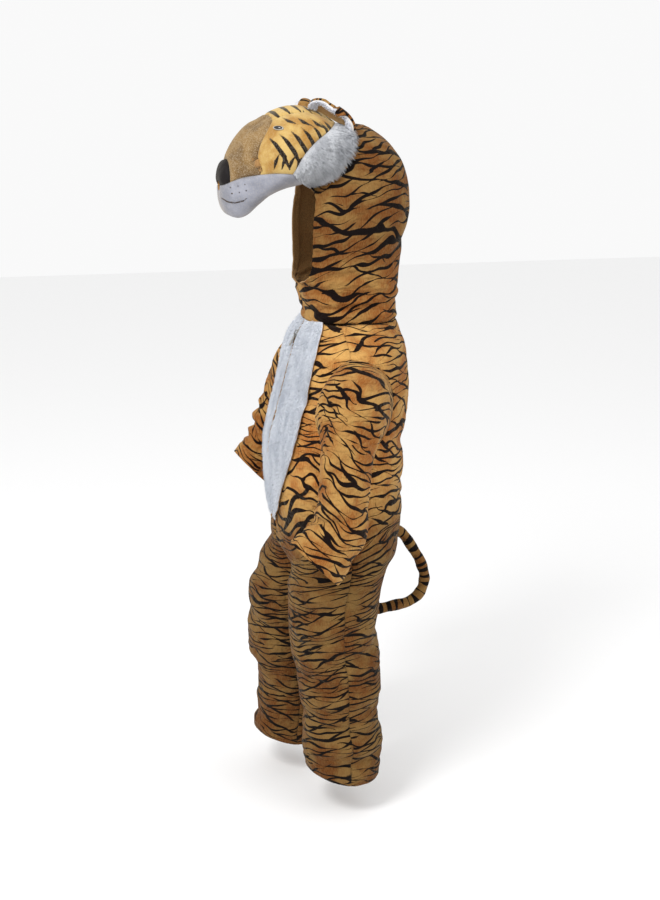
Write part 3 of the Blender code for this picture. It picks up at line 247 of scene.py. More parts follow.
LEG_CREASES = [
    (385, 60, 24, 50, 5, -2), (362, 100, -20, 46, 4.5, -1.8), (340, 30, 16, 44, 4.5, 1.6),
    (312, 88, 20, 60, 4.5, -2), (288, 48, -18, 50, 4.5, -1.8), (262, 70, 12, 60, 4.5, 1.8),
    (247, 120, -16, 60, 4.5, -2), (222, 78, 14, 62, 4.5, -2), (192, 58, -12, 60, 4, 1.8),
    (166, 92, 13, 66, 4.2, -2), (137, 48, -10, 70, 4, -2), (112, 84, 10, 80, 4, -1.8),
    (370, 200, 22, 50, 5, -2), (345, 230, -22, 50, 4.8, -1.8), (285, 210, 18, 56, 4.8, -2),
    (262, 170, -14, 56, 4.5, 1.6), (205, 240, 14, 60, 4.5, -2), (182, 175, -12, 60, 4.5, -1.8),
    (135, 215, 12, 66, 4.2, -1.8), (300, 300, 16, 50, 4.8, -1.8), (220, 320, -14, 56, 4.5, -1.8),
    (150, 300, 12, 60, 4.2, -1.8),
]
SLEEVE_CREASES = [
    (1.6, 70, 0.7, 44, 0.16, -1.6), (2.1, 110, -0.6, 40, 0.16, 1.4), (3.2, 95, 0.6, 40, 0.15, -1.6),
    (3.9, 60, 0.5, 46, 0.15, -1.8), (4.6, 90, -0.4, 44, 0.14, 1.5), (5, 300, 0.5, 46, 0.14, -1.8),
    (5.8, 75, 0.4, 50, 0.14, -2), (6.6, 95, -0.4, 54, 0.13, -2), (7.3, 40, 0.3, 60, 0.12, 1.6),
    (8, 80, 0.4, 60, 0.12, -2), (8.7, 55, -0.3, 56, 0.12, -1.6), (2.6, 200, 0.5, 50, 0.16, -1.6),
    (4.3, 220, -0.5, 50, 0.15, -1.8), (6, 190, 0.4, 54, 0.14, -1.8), (7.5, 230, -0.4, 56, 0.13, -1.8),
    (8.4, 180, 0.3, 60, 0.12, -1.6),
]
HOOD_CREASES = [
    (856, 95, 16, 60, 3, -1.4), (842, 70, 10, 70, 2.8, -1.4), (829, 60, -8, 80, 2.6, 1.3),
    (817, 85, 6, 90, 2.6, -1.4), (806, 70, 5, 90, 2.4, -1.3), (797, 95, -4, 100, 2.2, 1.2),
    (842, 150, -10, 50, 3, -1.4), (820, 155, 6, 50, 2.8, -1.4), (930, 125, 50, 40, 7, -1.4),
    (880, 120, 30, 50, 5, 1.4), (1000, 110, 50, 40, 8, 1.2),
]


def smooth_step(start, end, value):
    """0 before start, 1 past end and a soft rise between them."""
    part = np.clip((np.asarray(value, float) - start) / (end - start), 0.0, 1.0)
    return part * part * (3 - 2 * part)


def rounded(angle, power):
    """Shares across and ahead of a place on a rounded outline."""
    side, ahead = np.sin(angle), np.cos(angle)
    return (np.sign(side) * np.abs(side) ** (2 / power),
            np.sign(ahead) * np.abs(ahead) ** (2 / power))


def vec(x, y, z):
    """Points from coordinates, each a number or an array."""
    return np.stack(np.broadcast_arrays(np.asarray(x, float), y, z), -1)


def fold_rise(folds, along, around, units=MILLI):
    """Lift by folds at places along, where units of the folds make one of along, and around."""
    rise = np.zeros(np.broadcast(along, around).shape)
    for place, turn, slope, span, half_width, depth in folds:
        away = (around - turn + 180) % 360 - 180
        line = (place + slope * np.radians(away)) / units
        window = np.where(np.abs(away) < span, np.cos(np.pi / 2 * away / span) ** 2, 0.0)
        rise += depth / MILLI * window * np.exp(-((along - line) * units / half_width) ** 2)
    return np.where(rise < 0, TROUGH * rise, rise)


def torso_point(height, angle):
    half_width, front, back = TORSO.at(height)
    side, ahead = rounded(angle, BODY_ROUND)
    reach = np.where(ahead > 0, SIDE_LINE - front, back - SIDE_LINE)
    return vec(half_width * side, SIDE_LINE - ahead * reach, height)


def leg_point(side, height, angle):
    out, y, half_width, half_depth = LEGS[side].at(height)
    across, ahead = rounded(angle, LEG_ROUND)
    low = smooth_step(HEM_HEIGHT + 0.05, HEM_HEIGHT, height)
    rise = HEM_RISE * low * np.maximum(np.cos(angle), 0.0)
    return vec(side * (out + half_width * across), y - half_depth * ahead, height + rise)


def armhole_reach(height):
    """Angle from the side line to the armhole's edge."""
    part = 1 - ((np.asarray(height, float) - ARMHOLE_MIDDLE) / ARMHOLE_HALF) ** 2
    return ARMHOLE_REACH * np.sqrt(np.maximum(part, 0.0))


def panel_angles(side, face, height, share):
    """Angles round the torso and the leg, for a share from the middle seam to the side's."""
    quarter = math.pi / 2 - armhole_reach(height)
    if face > 0:
        return side * share * quarter, (share - 0.5) * math.pi
    return side * (math.pi - share * quarter), math.pi - (share - 0.5) * math.pi


def panel_point(side, face, height, share):
    torso, leg = panel_angles(side, face, height, share)
    below = smooth_step(HIP_HEIGHT, CROTCH_HEIGHT, height)[..., None]
    return torso_point(height, torso) * (1 - below) + leg_point(side, height, leg) * below


def panel_rise(side, face, height, share, fine=True):
    torso, leg = panel_angles(side, face, height, share)
    on_torso = fold_rise(TORSO_FOLDS + (TORSO_CREASES if fine else []), height, np.degrees(torso))
    on_leg = fold_rise(LEG_FOLDS[side], height, np.degrees(leg))
    if fine:
        on_leg = on_leg + fold_rise(LEG_CREASES, height + 0.006 * side, np.degrees(leg) + 25 * side)
    legs = smooth_step(HIP_HEIGHT, CROTCH_HEIGHT, height)
    calm = smooth_step(NECK_HEIGHT, NECK_HEIGHT - 0.02, height)
    inseam = np.where(legs > 0, smooth_step(0.0, 0.12, share), 1.0)
    by_hole = (smooth_step(ARMHOLE_BOTTOM - 0.02, ARMHOLE_BOTTOM, height)
               * smooth_step(ARMHOLE_TOP + 0.02, ARMHOLE_TOP, height))
    edge = 1 - by_hole * smooth_step(0.7, 0.98, share)
    return ((1 - legs) * on_torso + legs * on_leg) * calm * inseam * edge


def sleeve_point(side, along, angle):
    out, y, height, lean, tilt, half_out, half_fore = SLEEVES[side].at(along)
    lean, tilt = np.radians(lean), np.radians(tilt)
    outward = vec(side * np.sin(lean), 0.0, np.cos(lean))
    forward = vec(0.0, -np.cos(tilt), np.sin(tilt))
    across, ahead = rounded(math.pi / 2 - angle, SLEEVE_ROUND)
    ring = (vec(side * out, y, height) + outward * (across * half_out)[..., None]
            + forward * (ahead * half_fore)[..., None])
    joined = smooth_step(1.0, 0.0, along)[..., None]
    reach = ARMHOLE_REACH * np.sin(angle)
    hole = torso_point(ARMHOLE_MIDDLE + ARMHOLE_HALF * np.cos(angle), side * (math.pi / 2 - reach))
    return ring * (1 - joined) + hole * joined


def hood_point(height, angle):
    half_width, front, back = HOOD.at(height)
    side, ahead = rounded(angle, HOOD_ROUND)
    reach = np.where(ahead > 0, HOOD_SIDE_LINE - front, back - HOOD_SIDE_LINE)
    return vec(half_width * side, HOOD_SIDE_LINE - ahead * reach, height)


def face_point(y, angle):
    bottom, middle, top, half_width = FACE.at(y)
    across, below = rounded(angle, FACE_ROUND)
    drop = np.where(below > 0, middle - bottom, top - middle)
    return vec(half_width * across, y, middle - below * drop)


def face_angles(y, height):
    """Angles on the face, left side, of heights seen from the side."""
    bottom, middle, top, _ = FACE.at(y)
    low = height < middle
    drop = np.where(low, middle - bottom, top - middle)
    turn = np.arccos(np.minimum(np.abs(height - middle) / drop, 1.0) ** (FACE_ROUND / 2))
    return np.where(low, turn, math.pi - turn)


# Grids, walls and meshes

def arc_lengths(points, axis):
    """Distance run along the grid's axis, from its first line."""
    steps = np.linalg.norm(np.diff(points, axis=axis), axis=-1)
    start = np.zeros_like(np.take(steps, [0], axis=axis))
    return np.concatenate([start, np.cumsum(steps, axis=axis)], axis=axis)


def grid_normals(points, inside, round_tube=False):
    """Unit normals of a grid of points, turned away from the points inside."""
    down = np.gradient(points, axis=0)
    if round_tube:
        across = (np.roll(points, -1, axis=1) - np.roll(points, 1, axis=1)) / 2
    else:
        across = np.gradient(points, axis=1)
    normal = np.cross(down, across)
    length = np.linalg.norm(normal, axis=-1, keepdims=True)
    normal = normal / np.maximum(length, 1e-12)
    facing = np.sum(normal * (points - inside))
    return normal if facing > 0 else -normal


def crumple(points, stretch, size, seed):
    """Soft uneven creasing, from -1 to 1, longer across than down by the factor stretch."""
    scale = np.array([1 / stretch, 1 / stretch, 1.0]) / size
    flat = (points * scale).reshape(-1, 3) + seed * 7.31
    found = [noise.noise(Vector(p)) + 0.5 * noise.noise(Vector(p) * 2.1) for p in flat]
    return np.array(found).reshape(points.shape[:-1])


def crumples(points, layers):
    """The rise of some crumple layers, each (lift, stretch, size, seed)."""
    return sum(lift * crumple(points, *rest) for lift, *rest in layers)


def mesh_from(name, points, faces, materials, face_slots=None, smooth=True):
    mesh = bpy.data.meshes.new(name)
    lowered = np.asarray(points, float).reshape(-1, 3) - np.array([0, 0, SHOULDER_HEIGHT])
    mesh.from_pydata(lowered.tolist(), [], faces)
    for finish in materials:
        mesh.materials.append(finish)
    if face_slots is not None:
        mesh.polygons.foreach_set("material_index", np.asarray(face_slots, np.int32))
    mesh.polygons.foreach_set("use_smooth", np.full(len(mesh.polygons), smooth))
    mesh.update()
    made = bpy.data.objects.new(name, mesh)
    bpy.context.scene.collection.objects.link(made)
    return made


def set_values(obj, name, kind, values):
    attribute = obj.data.attributes.new(name, kind, "POINT")
    key = {"FLOAT": "value", "FLOAT_VECTOR": "vector", "FLOAT_COLOR": "color"}[kind]
    attribute.data.foreach_set(key, np.asarray(values, np.float32).ravel())


def wall_faces(rows, columns, round_tube, flip):
    """Faces of a closed wall of two grids, and for each 0 outside, 1 inside and on the rim."""
    spans = columns if round_tube else columns - 1
    i, j = np.meshgrid(np.arange(rows - 1), np.arange(spans), indexing="ij")
    k = (j + 1) % columns
    outer = np.stack([i * columns + j, i * columns + k, (i + 1) * columns + k,
                      (i + 1) * columns + j], -1).reshape(-1, 4)
    total = rows * columns
    inner = outer[:, ::-1] + total
    j = np.arange(spans)
    k = (j + 1) % columns
    last = (rows - 1) * columns
    rims = [np.stack([k, j, j + total, k + total], -1),
            np.stack([last + j, last + k, last + k + total, last + j + total], -1)]
    if not round_tube:
        i = np.arange(rows - 1) * columns
        end = columns - 1
        rims.append(np.stack([i, i + columns, i + columns + total, i + total], -1))
        rims.append(np.stack([i + columns + end, i + end, i + end + total,
                              i + columns + end + total], -1))
    rim = np.concatenate(rims)
    faces = np.concatenate([outer, inner, rim])
    slots = np.concatenate([np.zeros(len(outer), int), np.ones(len(inner) + len(rim), int)])
    return (faces[:, ::-1] if flip else faces), slots


def cloth_wall(name, base, inside, rise, outer_material, inner_material, shade=1.0,
               round_tube=False, wall=CLOTH, flow_shift=(0.0, 0.0), keep_side=0, from_far_edge=False,
               gather=0.0, gather_from=0.0, tilt=0.0, own_down=None):
    """A closed thin wall of cloth on the base grid, lifted by rise. Its flow attribute gives
    each point's place in the flat cloth, across and down, for the stripes."""
    rows, columns = base.shape[:2]
    normal = grid_normals(base, inside, round_tube)
    outer = base + normal * rise[..., None]
    inner = outer - grid_normals(outer, inside, round_tube) * wall
    if keep_side:
        for layer in (outer, inner):
            layer[..., 0] = keep_side * np.maximum(keep_side * layer[..., 0], SEAM_MEET)
    down = np.gradient(base, axis=0)
    across = (np.roll(base, -1, 1) - np.roll(base, 1, 1)) if round_tube else np.gradient(base, axis=1)
    flip = np.sum(np.cross(across, down) * normal) < 0
    faces, slots = wall_faces(rows, columns, round_tube, flip)
    made = mesh_from(name, np.concatenate([outer.reshape(-1, 3), inner.reshape(-1, 3)]),
                     faces.tolist(), [outer_material, inner_material], slots)
    u = arc_lengths(base, 1)
    v = arc_lengths(base, 0)
    if from_far_edge:
        u = u - u[:, -1:]
        v = v[:, -1:]
    else:
        v = v[:, columns // 3][:, None]
    v = v + gather * np.maximum(v - gather_from, 0.0)
    v = (v if own_down is None else own_down) + tilt * base[..., 1]
    flow = vec(u + flow_shift[0], v + flow_shift[1], 0.0).reshape(-1, 3)
    set_values(made, "flow", "FLOAT_VECTOR", np.concatenate([flow, flow]))
    shades = np.broadcast_to(shade, u.shape).ravel()
    set_values(made, "shade", "FLOAT", np.concatenate([shades, shades]))
    return made, outer, normal


def place_piece(piece, node):
    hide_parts(node)
    join(piece)


def join(piece):
    """Lets a piece ride on the root."""
    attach(piece, "root")


def fix_outward(piece):
    """Turns all faces of a closed mesh outward."""
    shaped = bmesh.new()
    shaped.from_mesh(piece.data)
    bmesh.ops.recalc_face_normals(shaped, faces=shaped.faces[:])
    if shaped.calc_volume(signed=True) < 0:
        bmesh.ops.reverse_faces(shaped, faces=shaped.faces[:])
    shaped.to_mesh(piece.data)
    shaped.free()


# Materials

class Nodes:
    """A short way to add and join shader nodes."""

    def __init__(self, name):
        self.material = bpy.data.materials.new(name)
        self.material.use_nodes = True
        self.tree = self.material.node_tree
        self.shader = self.tree.nodes["Principled BSDF"]
        self.place = self.add("ShaderNodeTexCoord").outputs["Object"]

    def add(self, kind, inputs=None, **settings):
        node = self.tree.nodes.new(kind)
        for key, value in settings.items():
            setattr(node, key, value)
        for key, value in (inputs or {}).items():
            self.put(node.inputs[key], value)
        return node

    def put(self, socket, value):
        if isinstance(value, bpy.types.NodeSocket):
            self.tree.links.new(value, socket)
        else:
            socket.default_value = value

    def math(self, operation, a, b=0.0, c=0.0):
        return self.add("ShaderNodeMath", {0: a, 1: b, 2: c}, operation=operation).outputs[0]

    def set(self, **values):
        """Sets sockets of the shader, whose names are written with _ for a space."""
        for name, value in values.items():
            self.put(self.shader.inputs[name.replace("_", " ")], value)

    def mix(self, share, a, b):
        node = self.add("ShaderNodeMix", data_type="RGBA", clamp_factor=True)
        self.put(node.inputs[0], share)
        self.put(node.inputs[6], a)
        self.put(node.inputs[7], b)
        return node.outputs[2]

    def ramp(self, value, low, high, start=0.0, end=1.0):
        return self.add("ShaderNodeMapRange", {0: value, 1: low, 2: high, 3: start, 4: end},
                        interpolation_type="SMOOTHSTEP", clamp=True).outputs[0]

    def noise(self, where, scale, detail=2.0, rough=0.5, stretch=(1, 1, 1)):
        moved = self.add("ShaderNodeMapping", {"Vector": where, "Scale": stretch}).outputs[0]
        return self.add("ShaderNodeTexNoise", {"Vector": moved, "Scale": scale, "Detail": detail,
                                               "Roughness": rough}).outputs[0]

    def bump(self, height, distance, strength=1.0, normal=None):
        node = self.add("ShaderNodeBump", {"Height": height, "Distance": distance,
                                           "Strength": strength})
        if normal is not None:
            self.put(node.inputs["Normal"], normal)
        return node.outputs[0]


def colour(red, green, blue):
    """Linear colour of an sRGB one given from 0 to 255."""
    def line(c):
        c /= 255
        return c / 12.92 if c <= 0.04045 else ((c + 0.055) / 1.055) ** 2.4
    return (line(red), line(green), line(blue), 1.0)


def finish_plush(nodes, base, bump, sheen, tint=(1.0, 0.85, 0.6, 1.0), rough=0.82):
    nodes.set(Base_Color=base, Normal=bump, Roughness=rough, Sheen_Weight=sheen,
              Sheen_Roughness=0.45, Sheen_Tint=tint, Specular_IOR_Level=0.12)
    return nodes.material


CROSSING_APART, CROSSING_SHARE, CROSSING_SHIFT = 1.7, 0.62, 4.7
GOLD, RUST, PRINT, GLINT = (198, 150, 84), (156, 88, 32), (18, 3, 0), (255, 240, 214)


def stripe_lines(n, moved, ragged, spacing, share, along, wild, turn=0.0, shift=0.0):
    """One set of long stripes, turned from level, that swell and dwindle. 1 inside them."""
    turned = n.add("ShaderNodeMapping", {"Vector": moved, "Location": (shift, shift, 0.0),
                                         "Rotation": (0.0, 0.0, turn)}).outputs[0]
    squeezed = n.add("ShaderNodeMapping", {"Vector": turned, "Scale": (along, 1.0, 1.0)}).outputs[0]
    gabor = n.add("ShaderNodeTexGabor", {"Vector": squeezed, "Scale": 0.5 / spacing,
                                         "Frequency": 2.0, "Anisotropy": wild,
                                         "Orientation": math.pi / 2})
    from_line = n.math("ABSOLUTE", n.math("SUBTRACT", gabor.outputs["Phase"], 0.5))
    width = n.noise(turned, 34.0, 2.0, 0.5, (0.5, 1.0, 1.0))
    swell = n.ramp(width, 0.34, 0.60, 0.0, share / 2)
    inside = n.math("SUBTRACT", n.math("MULTIPLY_ADD", ragged, 0.05, swell), from_line)
    return n.ramp(inside, 0.010, 0.045)


def striped_plush(name, spacing=0.0138, share=0.37, along=0.34, turn=0.5, wander=0.017, wild=0.97):
    """Brushed plush printed with long stripes across the flat cloth, spacing apart, that fork
    where a second, wider set turned by turn crosses them. Share is how dark the print is."""
    n = Nodes(name)
    flow = n.add("ShaderNodeAttribute", attribute_name="flow").outputs["Vector"]
    shade = n.add("ShaderNodeAttribute", attribute_name="shade").outputs["Fac"]
    drift = n.add("ShaderNodeTexNoise", {"Vector": flow, "Scale": 18.0, "Detail": 1.0,
                                         "Roughness": 0.5}).outputs["Color"]
    centred = n.add("ShaderNodeVectorMath", {0: drift, 1: (0.5, 0.5, 0.5)},
                    operation="SUBTRACT").outputs[0]
    moved = n.add("ShaderNodeVectorMath", {0: centred, 1: (wander, wander * 2.4, 0.0), 2: flow},
                  operation="MULTIPLY_ADD").outputs[0]
    ragged = n.noise(flow, 700.0, 2.0, 0.6, (1.0, 0.35, 1.0))
    stripe = stripe_lines(n, moved, ragged, spacing, share, along, wild)
    if turn:
        crossing = stripe_lines(n, moved, ragged, spacing * CROSSING_APART, share * CROSSING_SHARE,
                                along, wild, turn, CROSSING_SHIFT)
        stripe = n.math("MAXIMUM", stripe, crossing)
    patches = n.noise(n.place, 22.0, 3.0, 0.55)
    fibre = n.noise(flow, 620.0, 3.0, 0.65, (1.0, 0.22, 1.0))
    ground = n.mix(n.ramp(patches, 0.36, 0.64), colour(*RUST), colour(*GOLD))
    # Paler fibres scattered by noise, partly a painted sheen on the pile.
    ground = n.mix(n.ramp(fibre, 0.35, 0.75, 0.0, 0.30), ground, colour(240, 196, 120))
    ink = n.mix(n.ramp(fibre, 0.50, 0.85, 0.0, 0.14), colour(*PRINT), colour(82, 44, 18))
    shown = n.mix(stripe, ground, ink)
    # The shade attribute scales the colour down: painted shade.
    lit = n.add("ShaderNodeVectorMath", {0: shown}, operation="SCALE")
    n.put(lit.inputs["Scale"], shade)
    nap = n.bump(fibre, 0.0011, 0.55)
    crease = n.noise(n.place, 38.0, 2.0, 0.5, (1.0, 1.0, 1.7))
    crease = n.math("ABSOLUTE", n.math("SUBTRACT", crease, 0.5))
    creased = n.bump(n.ramp(crease, 0.0, 0.16), 0.0034, 0.55, nap)
    clump = n.bump(n.noise(n.place, 210.0, 2.0, 0.5), 0.0012, 0.35, creased)
    return finish_plush(n, lit.outputs[0], clump, 0.06)


def backing_cloth(name):
    """The knitted back of the plush, seen inside the hems and the hood."""
    n = Nodes(name)
    knit = n.add("ShaderNodeTexVoronoi", {"Vector": n.place, "Scale": 620.0}).outputs["Distance"]
    tone = n.mix(n.noise(n.place, 30.0, 3.0), colour(150, 110, 66), colour(176, 138, 90))
    tone = n.mix(n.ramp(knit, 0.2, 0.8, 0.0, 0.4), tone, colour(98, 66, 36))
    return finish_plush(n, tone, n.bump(knit, 0.0006, 0.5), 0.15)


def white_fur(name, tint, low, strand=0.0008, grain=340.0):
    """White pile: the tint colour on the strands, and the low colour in the gaps between clumps and
    strands, which is painted shade.
    """
    n = Nodes(name)
    clumps = n.noise(n.place, 46.0, 3.0, 0.6, (1.0, 1.0, 0.35))
    fine = n.noise(n.place, grain, 3.0, 0.65, (1.0, 1.0, 0.22))
    tone = n.mix(n.ramp(clumps, 0.30, 0.62), colour(*low), colour(*tint))
    tone = n.mix(n.ramp(fine, 0.30, 0.60, 0.35, 0.0), tone, colour(*low))
    bump = n.bump(clumps, 0.003, 0.35, n.bump(fine, strand, 0.6))
    return finish_plush(n, tone, bump, 0.3, (0.95, 0.97, 1.0, 1.0), 0.9)


def short_pile(name, first, second, grain=500.0, strength=0.5, sheen=0.3, patch=30.0):
    n = Nodes(name)
    fine = n.noise(n.place, grain, 3.0, 0.65)
    tone = n.mix(n.ramp(n.noise(n.place, patch, 3.0), 0.35, 0.65), colour(*first), colour(*second))
    tone = n.mix(n.ramp(fine, 0.40, 0.75, 0.0, 0.22), tone, colour(*GLINT))
    return finish_plush(n, tone, n.bump(fine, 0.0007, strength), sheen)


def marked_pile(name, first, second, mark, grain=460.0, edge=0.0004):
    """Short pile with marks where its ink attribute, a depth in metres, is above nought."""
    n = Nodes(name)
    ink = n.add("ShaderNodeAttribute", attribute_name="ink").outputs["Fac"]
    fine = n.noise(n.place, grain, 3.0, 0.65)
    ragged = n.math("MULTIPLY", n.math("SUBTRACT", fine, 0.5), 0.0022)
    marked = n.ramp(n.math("ADD", ink, ragged), -edge, edge)
    tone = n.mix(n.ramp(n.noise(n.place, 34.0, 3.0), 0.35, 0.65), colour(*first), colour(*second))
    tone = n.mix(marked, tone, colour(*mark))
    tone = n.mix(n.ramp(fine, 0.40, 0.78, 0.0, 0.09), tone, colour(*GLINT))
    return finish_plush(n, tone, n.bump(fine, 0.0008, 0.5), 0.3)


def dark_pile(name):
    n = Nodes(name)
    fine = n.noise(n.place, 700.0, 3.0, 0.65)
    tone = n.mix(fine, colour(10, 8, 9), colour(34, 30, 31))
    return finish_plush(n, tone, n.bump(fine, 0.0005, 0.4), 0.05, rough=0.6)


def metal_finish(name, tone):
    n = Nodes(name)
    worn = n.noise(n.place, 900.0, 3.0, 0.6)
    n.set(Base_Color=n.mix(worn, colour(*tone), colour(120, 120, 116)), Metallic=1.0,
          Roughness=n.ramp(worn, 0.2, 0.9, 0.24, 0.46))
    return n.material


def gloss_black(name):
    n = Nodes(name)
    n.set(Base_Color=n.mix(n.noise(n.place, 60.0, 2.0), colour(12, 10, 10), colour(26, 22, 20)),
          Roughness=n.ramp(n.noise(n.place, 260.0, 2.0), 0.3, 0.7, 0.12, 0.24), Coat_Weight=0.5)
    return n.material


BODY_PLUSH = striped_plush("striped_plush_body")
HOOD_PLUSH = striped_plush("striped_plush_hood", 0.0155, 0.40)
TAIL_PLUSH = striped_plush("striped_plush_tail", 0.0130, 0.62, 0.12, 0.0, 0.003, 1.0)
EAR_PLUSH_CLOTH = striped_plush("striped_plush_ear", 0.0120, 0.50)
BACKING = backing_cloth("plush_backing")
BELLY_FUR = white_fur("belly_fur", (236, 240, 247), (204, 210, 220))
MUZZLE_PLUSH = marked_pile("muzzle_plush", (126, 128, 138), (150, 152, 163), (40, 28, 25), 420.0)
FACE_FUR = white_fur("face_fur", (236, 237, 243), (214, 216, 224), 0.0005, 420.0)
TUFT_FUR = white_fur("tuft_fur", (200, 202, 206), (158, 160, 165))
SUEDE = short_pile("snout_pile", (100, 75, 41), (130, 102, 61), 620.0, 0.35, 0.25, 42.0)
CHEEK_PLUSH = marked_pile("cheek_plush", (158, 116, 54), (192, 162, 98), (14, 5, 2))
NOSE_PILE = dark_pile("nose_pile")
# The ear's mark colour is a tan middle, partly painted shade of the cupped ear.
EAR_WHITE = marked_pile("ear_white", (212, 208, 204), (232, 230, 228), (152, 120, 78), edge=0.0012)
EYE_WHITE = short_pile("eye_felt", (140, 138, 132), (164, 162, 156), 900.0, 0.3, 0.1)
TAPE_WEAVE = short_pile("zip_tape_weave", (176, 178, 180), (200, 202, 204), 1400.0, 0.5, 0.05)
TEETH = short_pile("zip_teeth", (206, 208, 206), (222, 224, 222), 900.0, 0.1, 0.0)
METAL = metal_finish("zip_metal", (196, 194, 186))
EYE_GLOSS = gloss_black("eye_gloss")


# Body panels

PANEL_HEIGHTS = np.linspace(NECK_HEIGHT, HEM_HEIGHT, int((NECK_HEIGHT - HEM_HEIGHT) / CELL) + 1)
PANEL_COLUMNS = 60
LEG_GATHER = 0.45              # how much closer the stripes lie on the legs
GATHER_FROM = 0.36


def seam_valley(distance, depth=0.0011, reach=0.0032):
    """The dip along a sewn edge."""
    return -depth * np.exp(-(distance / reach) ** 2)


def edge_distances(base):
    """Distances from the left, right, top and bottom edges."""
    across = arc_lengths(base, 1)
    down = arc_lengths(base, 0)
    return across, across[:, -1:] - across, down, down[-1:, :] - down


def grid_of(rows, columns):
    return np.broadcast_arrays(np.asarray(rows)[:, None], np.asarray(columns)[None, :])


def hem_profile(distance, depth=0.025, swell=0.0010):
    """The stitched turn-up of a hem: a line of stitching and a fuller edge beyond it."""
    line = -0.0014 * np.exp(-((distance - depth) / 0.0022) ** 2)
    return line + swell * smooth_step(depth, depth - 0.006, distance)


def body_shade(height):
    """Painted shade: the legs are painted deeper and browner than the chest, for light that falls from
    above.
    """
    return 0.31 + 0.63 * smooth_step(0.42, 0.58, height)


# Painted shade: the cloth is painted darker towards the back.
def back_shade(y):
    return 1 - 0.28 * smooth_step(0.000, 0.070, y)


# Painted shade: the hood is painted darker from just above the neck up to its crown.
def hood_shade(height):
    return 0.62 - 0.24 * smooth_step(0.82, 0.92, height)


STRIPE_SLANT = [(0.06, 0.10), (0.36, 0.25), (0.46, 0.50), (0.60, -0.10), (0.68, 0.25), (0.79, 0.20)]
HOOD_SLANT = -0.45
SLEEVE_SLANT = -0.50
SLEEVE_CAP_END = 5.0
# Painted shade: the sleeves are painted darker than the chest.
SLEEVE_SHADE = 0.70


def slant_at(height):
    """How steeply the stripes climb towards the back, by height."""
    places, slants = zip(*STRIPE_SLANT)
    return np.interp(height, places, slants)


def inside_body(points):
    centre = points.copy()
    centre[..., 0] = 0.0
    centre[..., 1] = -0.010
    return centre


def inside_leg(side, points, heights):
    out, y, _, _ = LEGS[side].at(heights)
    centre = points.copy()
    below = smooth_step(HIP_HEIGHT, CROTCH_HEIGHT, heights)
    centre[..., 0] = side * out * below
    centre[..., 1] = y * below - 0.010 * (1 - below)
    return centre


def soft_cloth(name, base, inside, rise, finish, shade, **flow):
    """Builds a sheet of the striped cloth and puts it in its node's place."""
    piece, _, _ = cloth_wall(f"{name}_cloth", base, inside, rise, finish, BACKING, shade, **flow)
    place_piece(piece, name)


for side, side_name in SIDES.items():
    for face, face_name in ((1, "front"), (-1, "back")):
        name = f"{face_name}_{side_name}"
        heights, shares = grid_of(PANEL_HEIGHTS, np.linspace(0.0, 1.0, PANEL_COLUMNS))
        base = panel_point(side, face, heights, shares)
        seed = 1 + 2 * side + face
        left, right, top, bottom = edge_distances(base)
        calm = smooth_step(0.0, 0.012, np.minimum(np.minimum(left, right), top))
        rise = panel_rise(side, face, heights, shares)
        rise = rise + calm * crumples(base, [(0.0018, 2.4, 0.030, seed),
                                             (0.0009, 1.8, 0.012, seed + 9)])
        rise = rise + seam_valley(left) + seam_valley(right) + seam_valley(top, 0.0010)
        rise = rise + hem_profile(bottom)
        shade = body_shade(heights) * back_shade(base[..., 1])
        soft_cloth(name, base, inside_leg(side, base, heights), rise, BODY_PLUSH, shade,
                   flow_shift=(seed * 0.37, seed * 0.53), gather=LEG_GATHER,
                   gather_from=GATHER_FROM, tilt=slant_at(heights))


# Sleeves

SLEEVE_STEPS, SLEEVE_ROWS, SLEEVE_COLUMNS = 10.0, 96, 76
for side, side_name in SIDES.items():
    name = f"sleeve_{side_name}"
    along, around = grid_of(np.linspace(0.0, SLEEVE_STEPS, SLEEVE_ROWS),
                            math.pi + np.linspace(0.0, 2 * math.pi, SLEEVE_COLUMNS, endpoint=False))
    base = sleeve_point(side, along, around)
    base[0, :, 0] += side * 2 * SEAM_GAP
    out, y, height = SLEEVES[side].at(along)[:3]
    inside = vec(side * out, y, height)
    ends = smooth_step(0.3, 1.5, along) * smooth_step(SLEEVE_STEPS, 9.4, along)
    rise = ends * fold_rise(SLEEVE_FOLDS[side] + SLEEVE_CREASES, along, np.degrees(around), 1)
    _, _, top, bottom = edge_distances(base)
    calm = smooth_step(0.0, 0.012, top)
    rise = rise + calm * crumples(base, [(0.0016, 1.6, 0.026, 21 + side),
                                         (0.0008, 1.6, 0.011, 31 + side)])
    rise = rise + seam_valley(top) + hem_profile(bottom, 0.021)
    past_cap = smooth_step(0.0, SLEEVE_CAP_END, along)
    run_down = arc_lengths(base, 0) + ARMHOLE_TOP - base[:1, :, 2]
    soft_cloth(name, base, inside, rise, BODY_PLUSH, SLEEVE_SHADE * back_shade(base[..., 1]),
               round_tube=True, flow_shift=(3.1 + side, 1.7 * side), tilt=SLEEVE_SLANT * past_cap,
               own_down=run_down)


# Hood

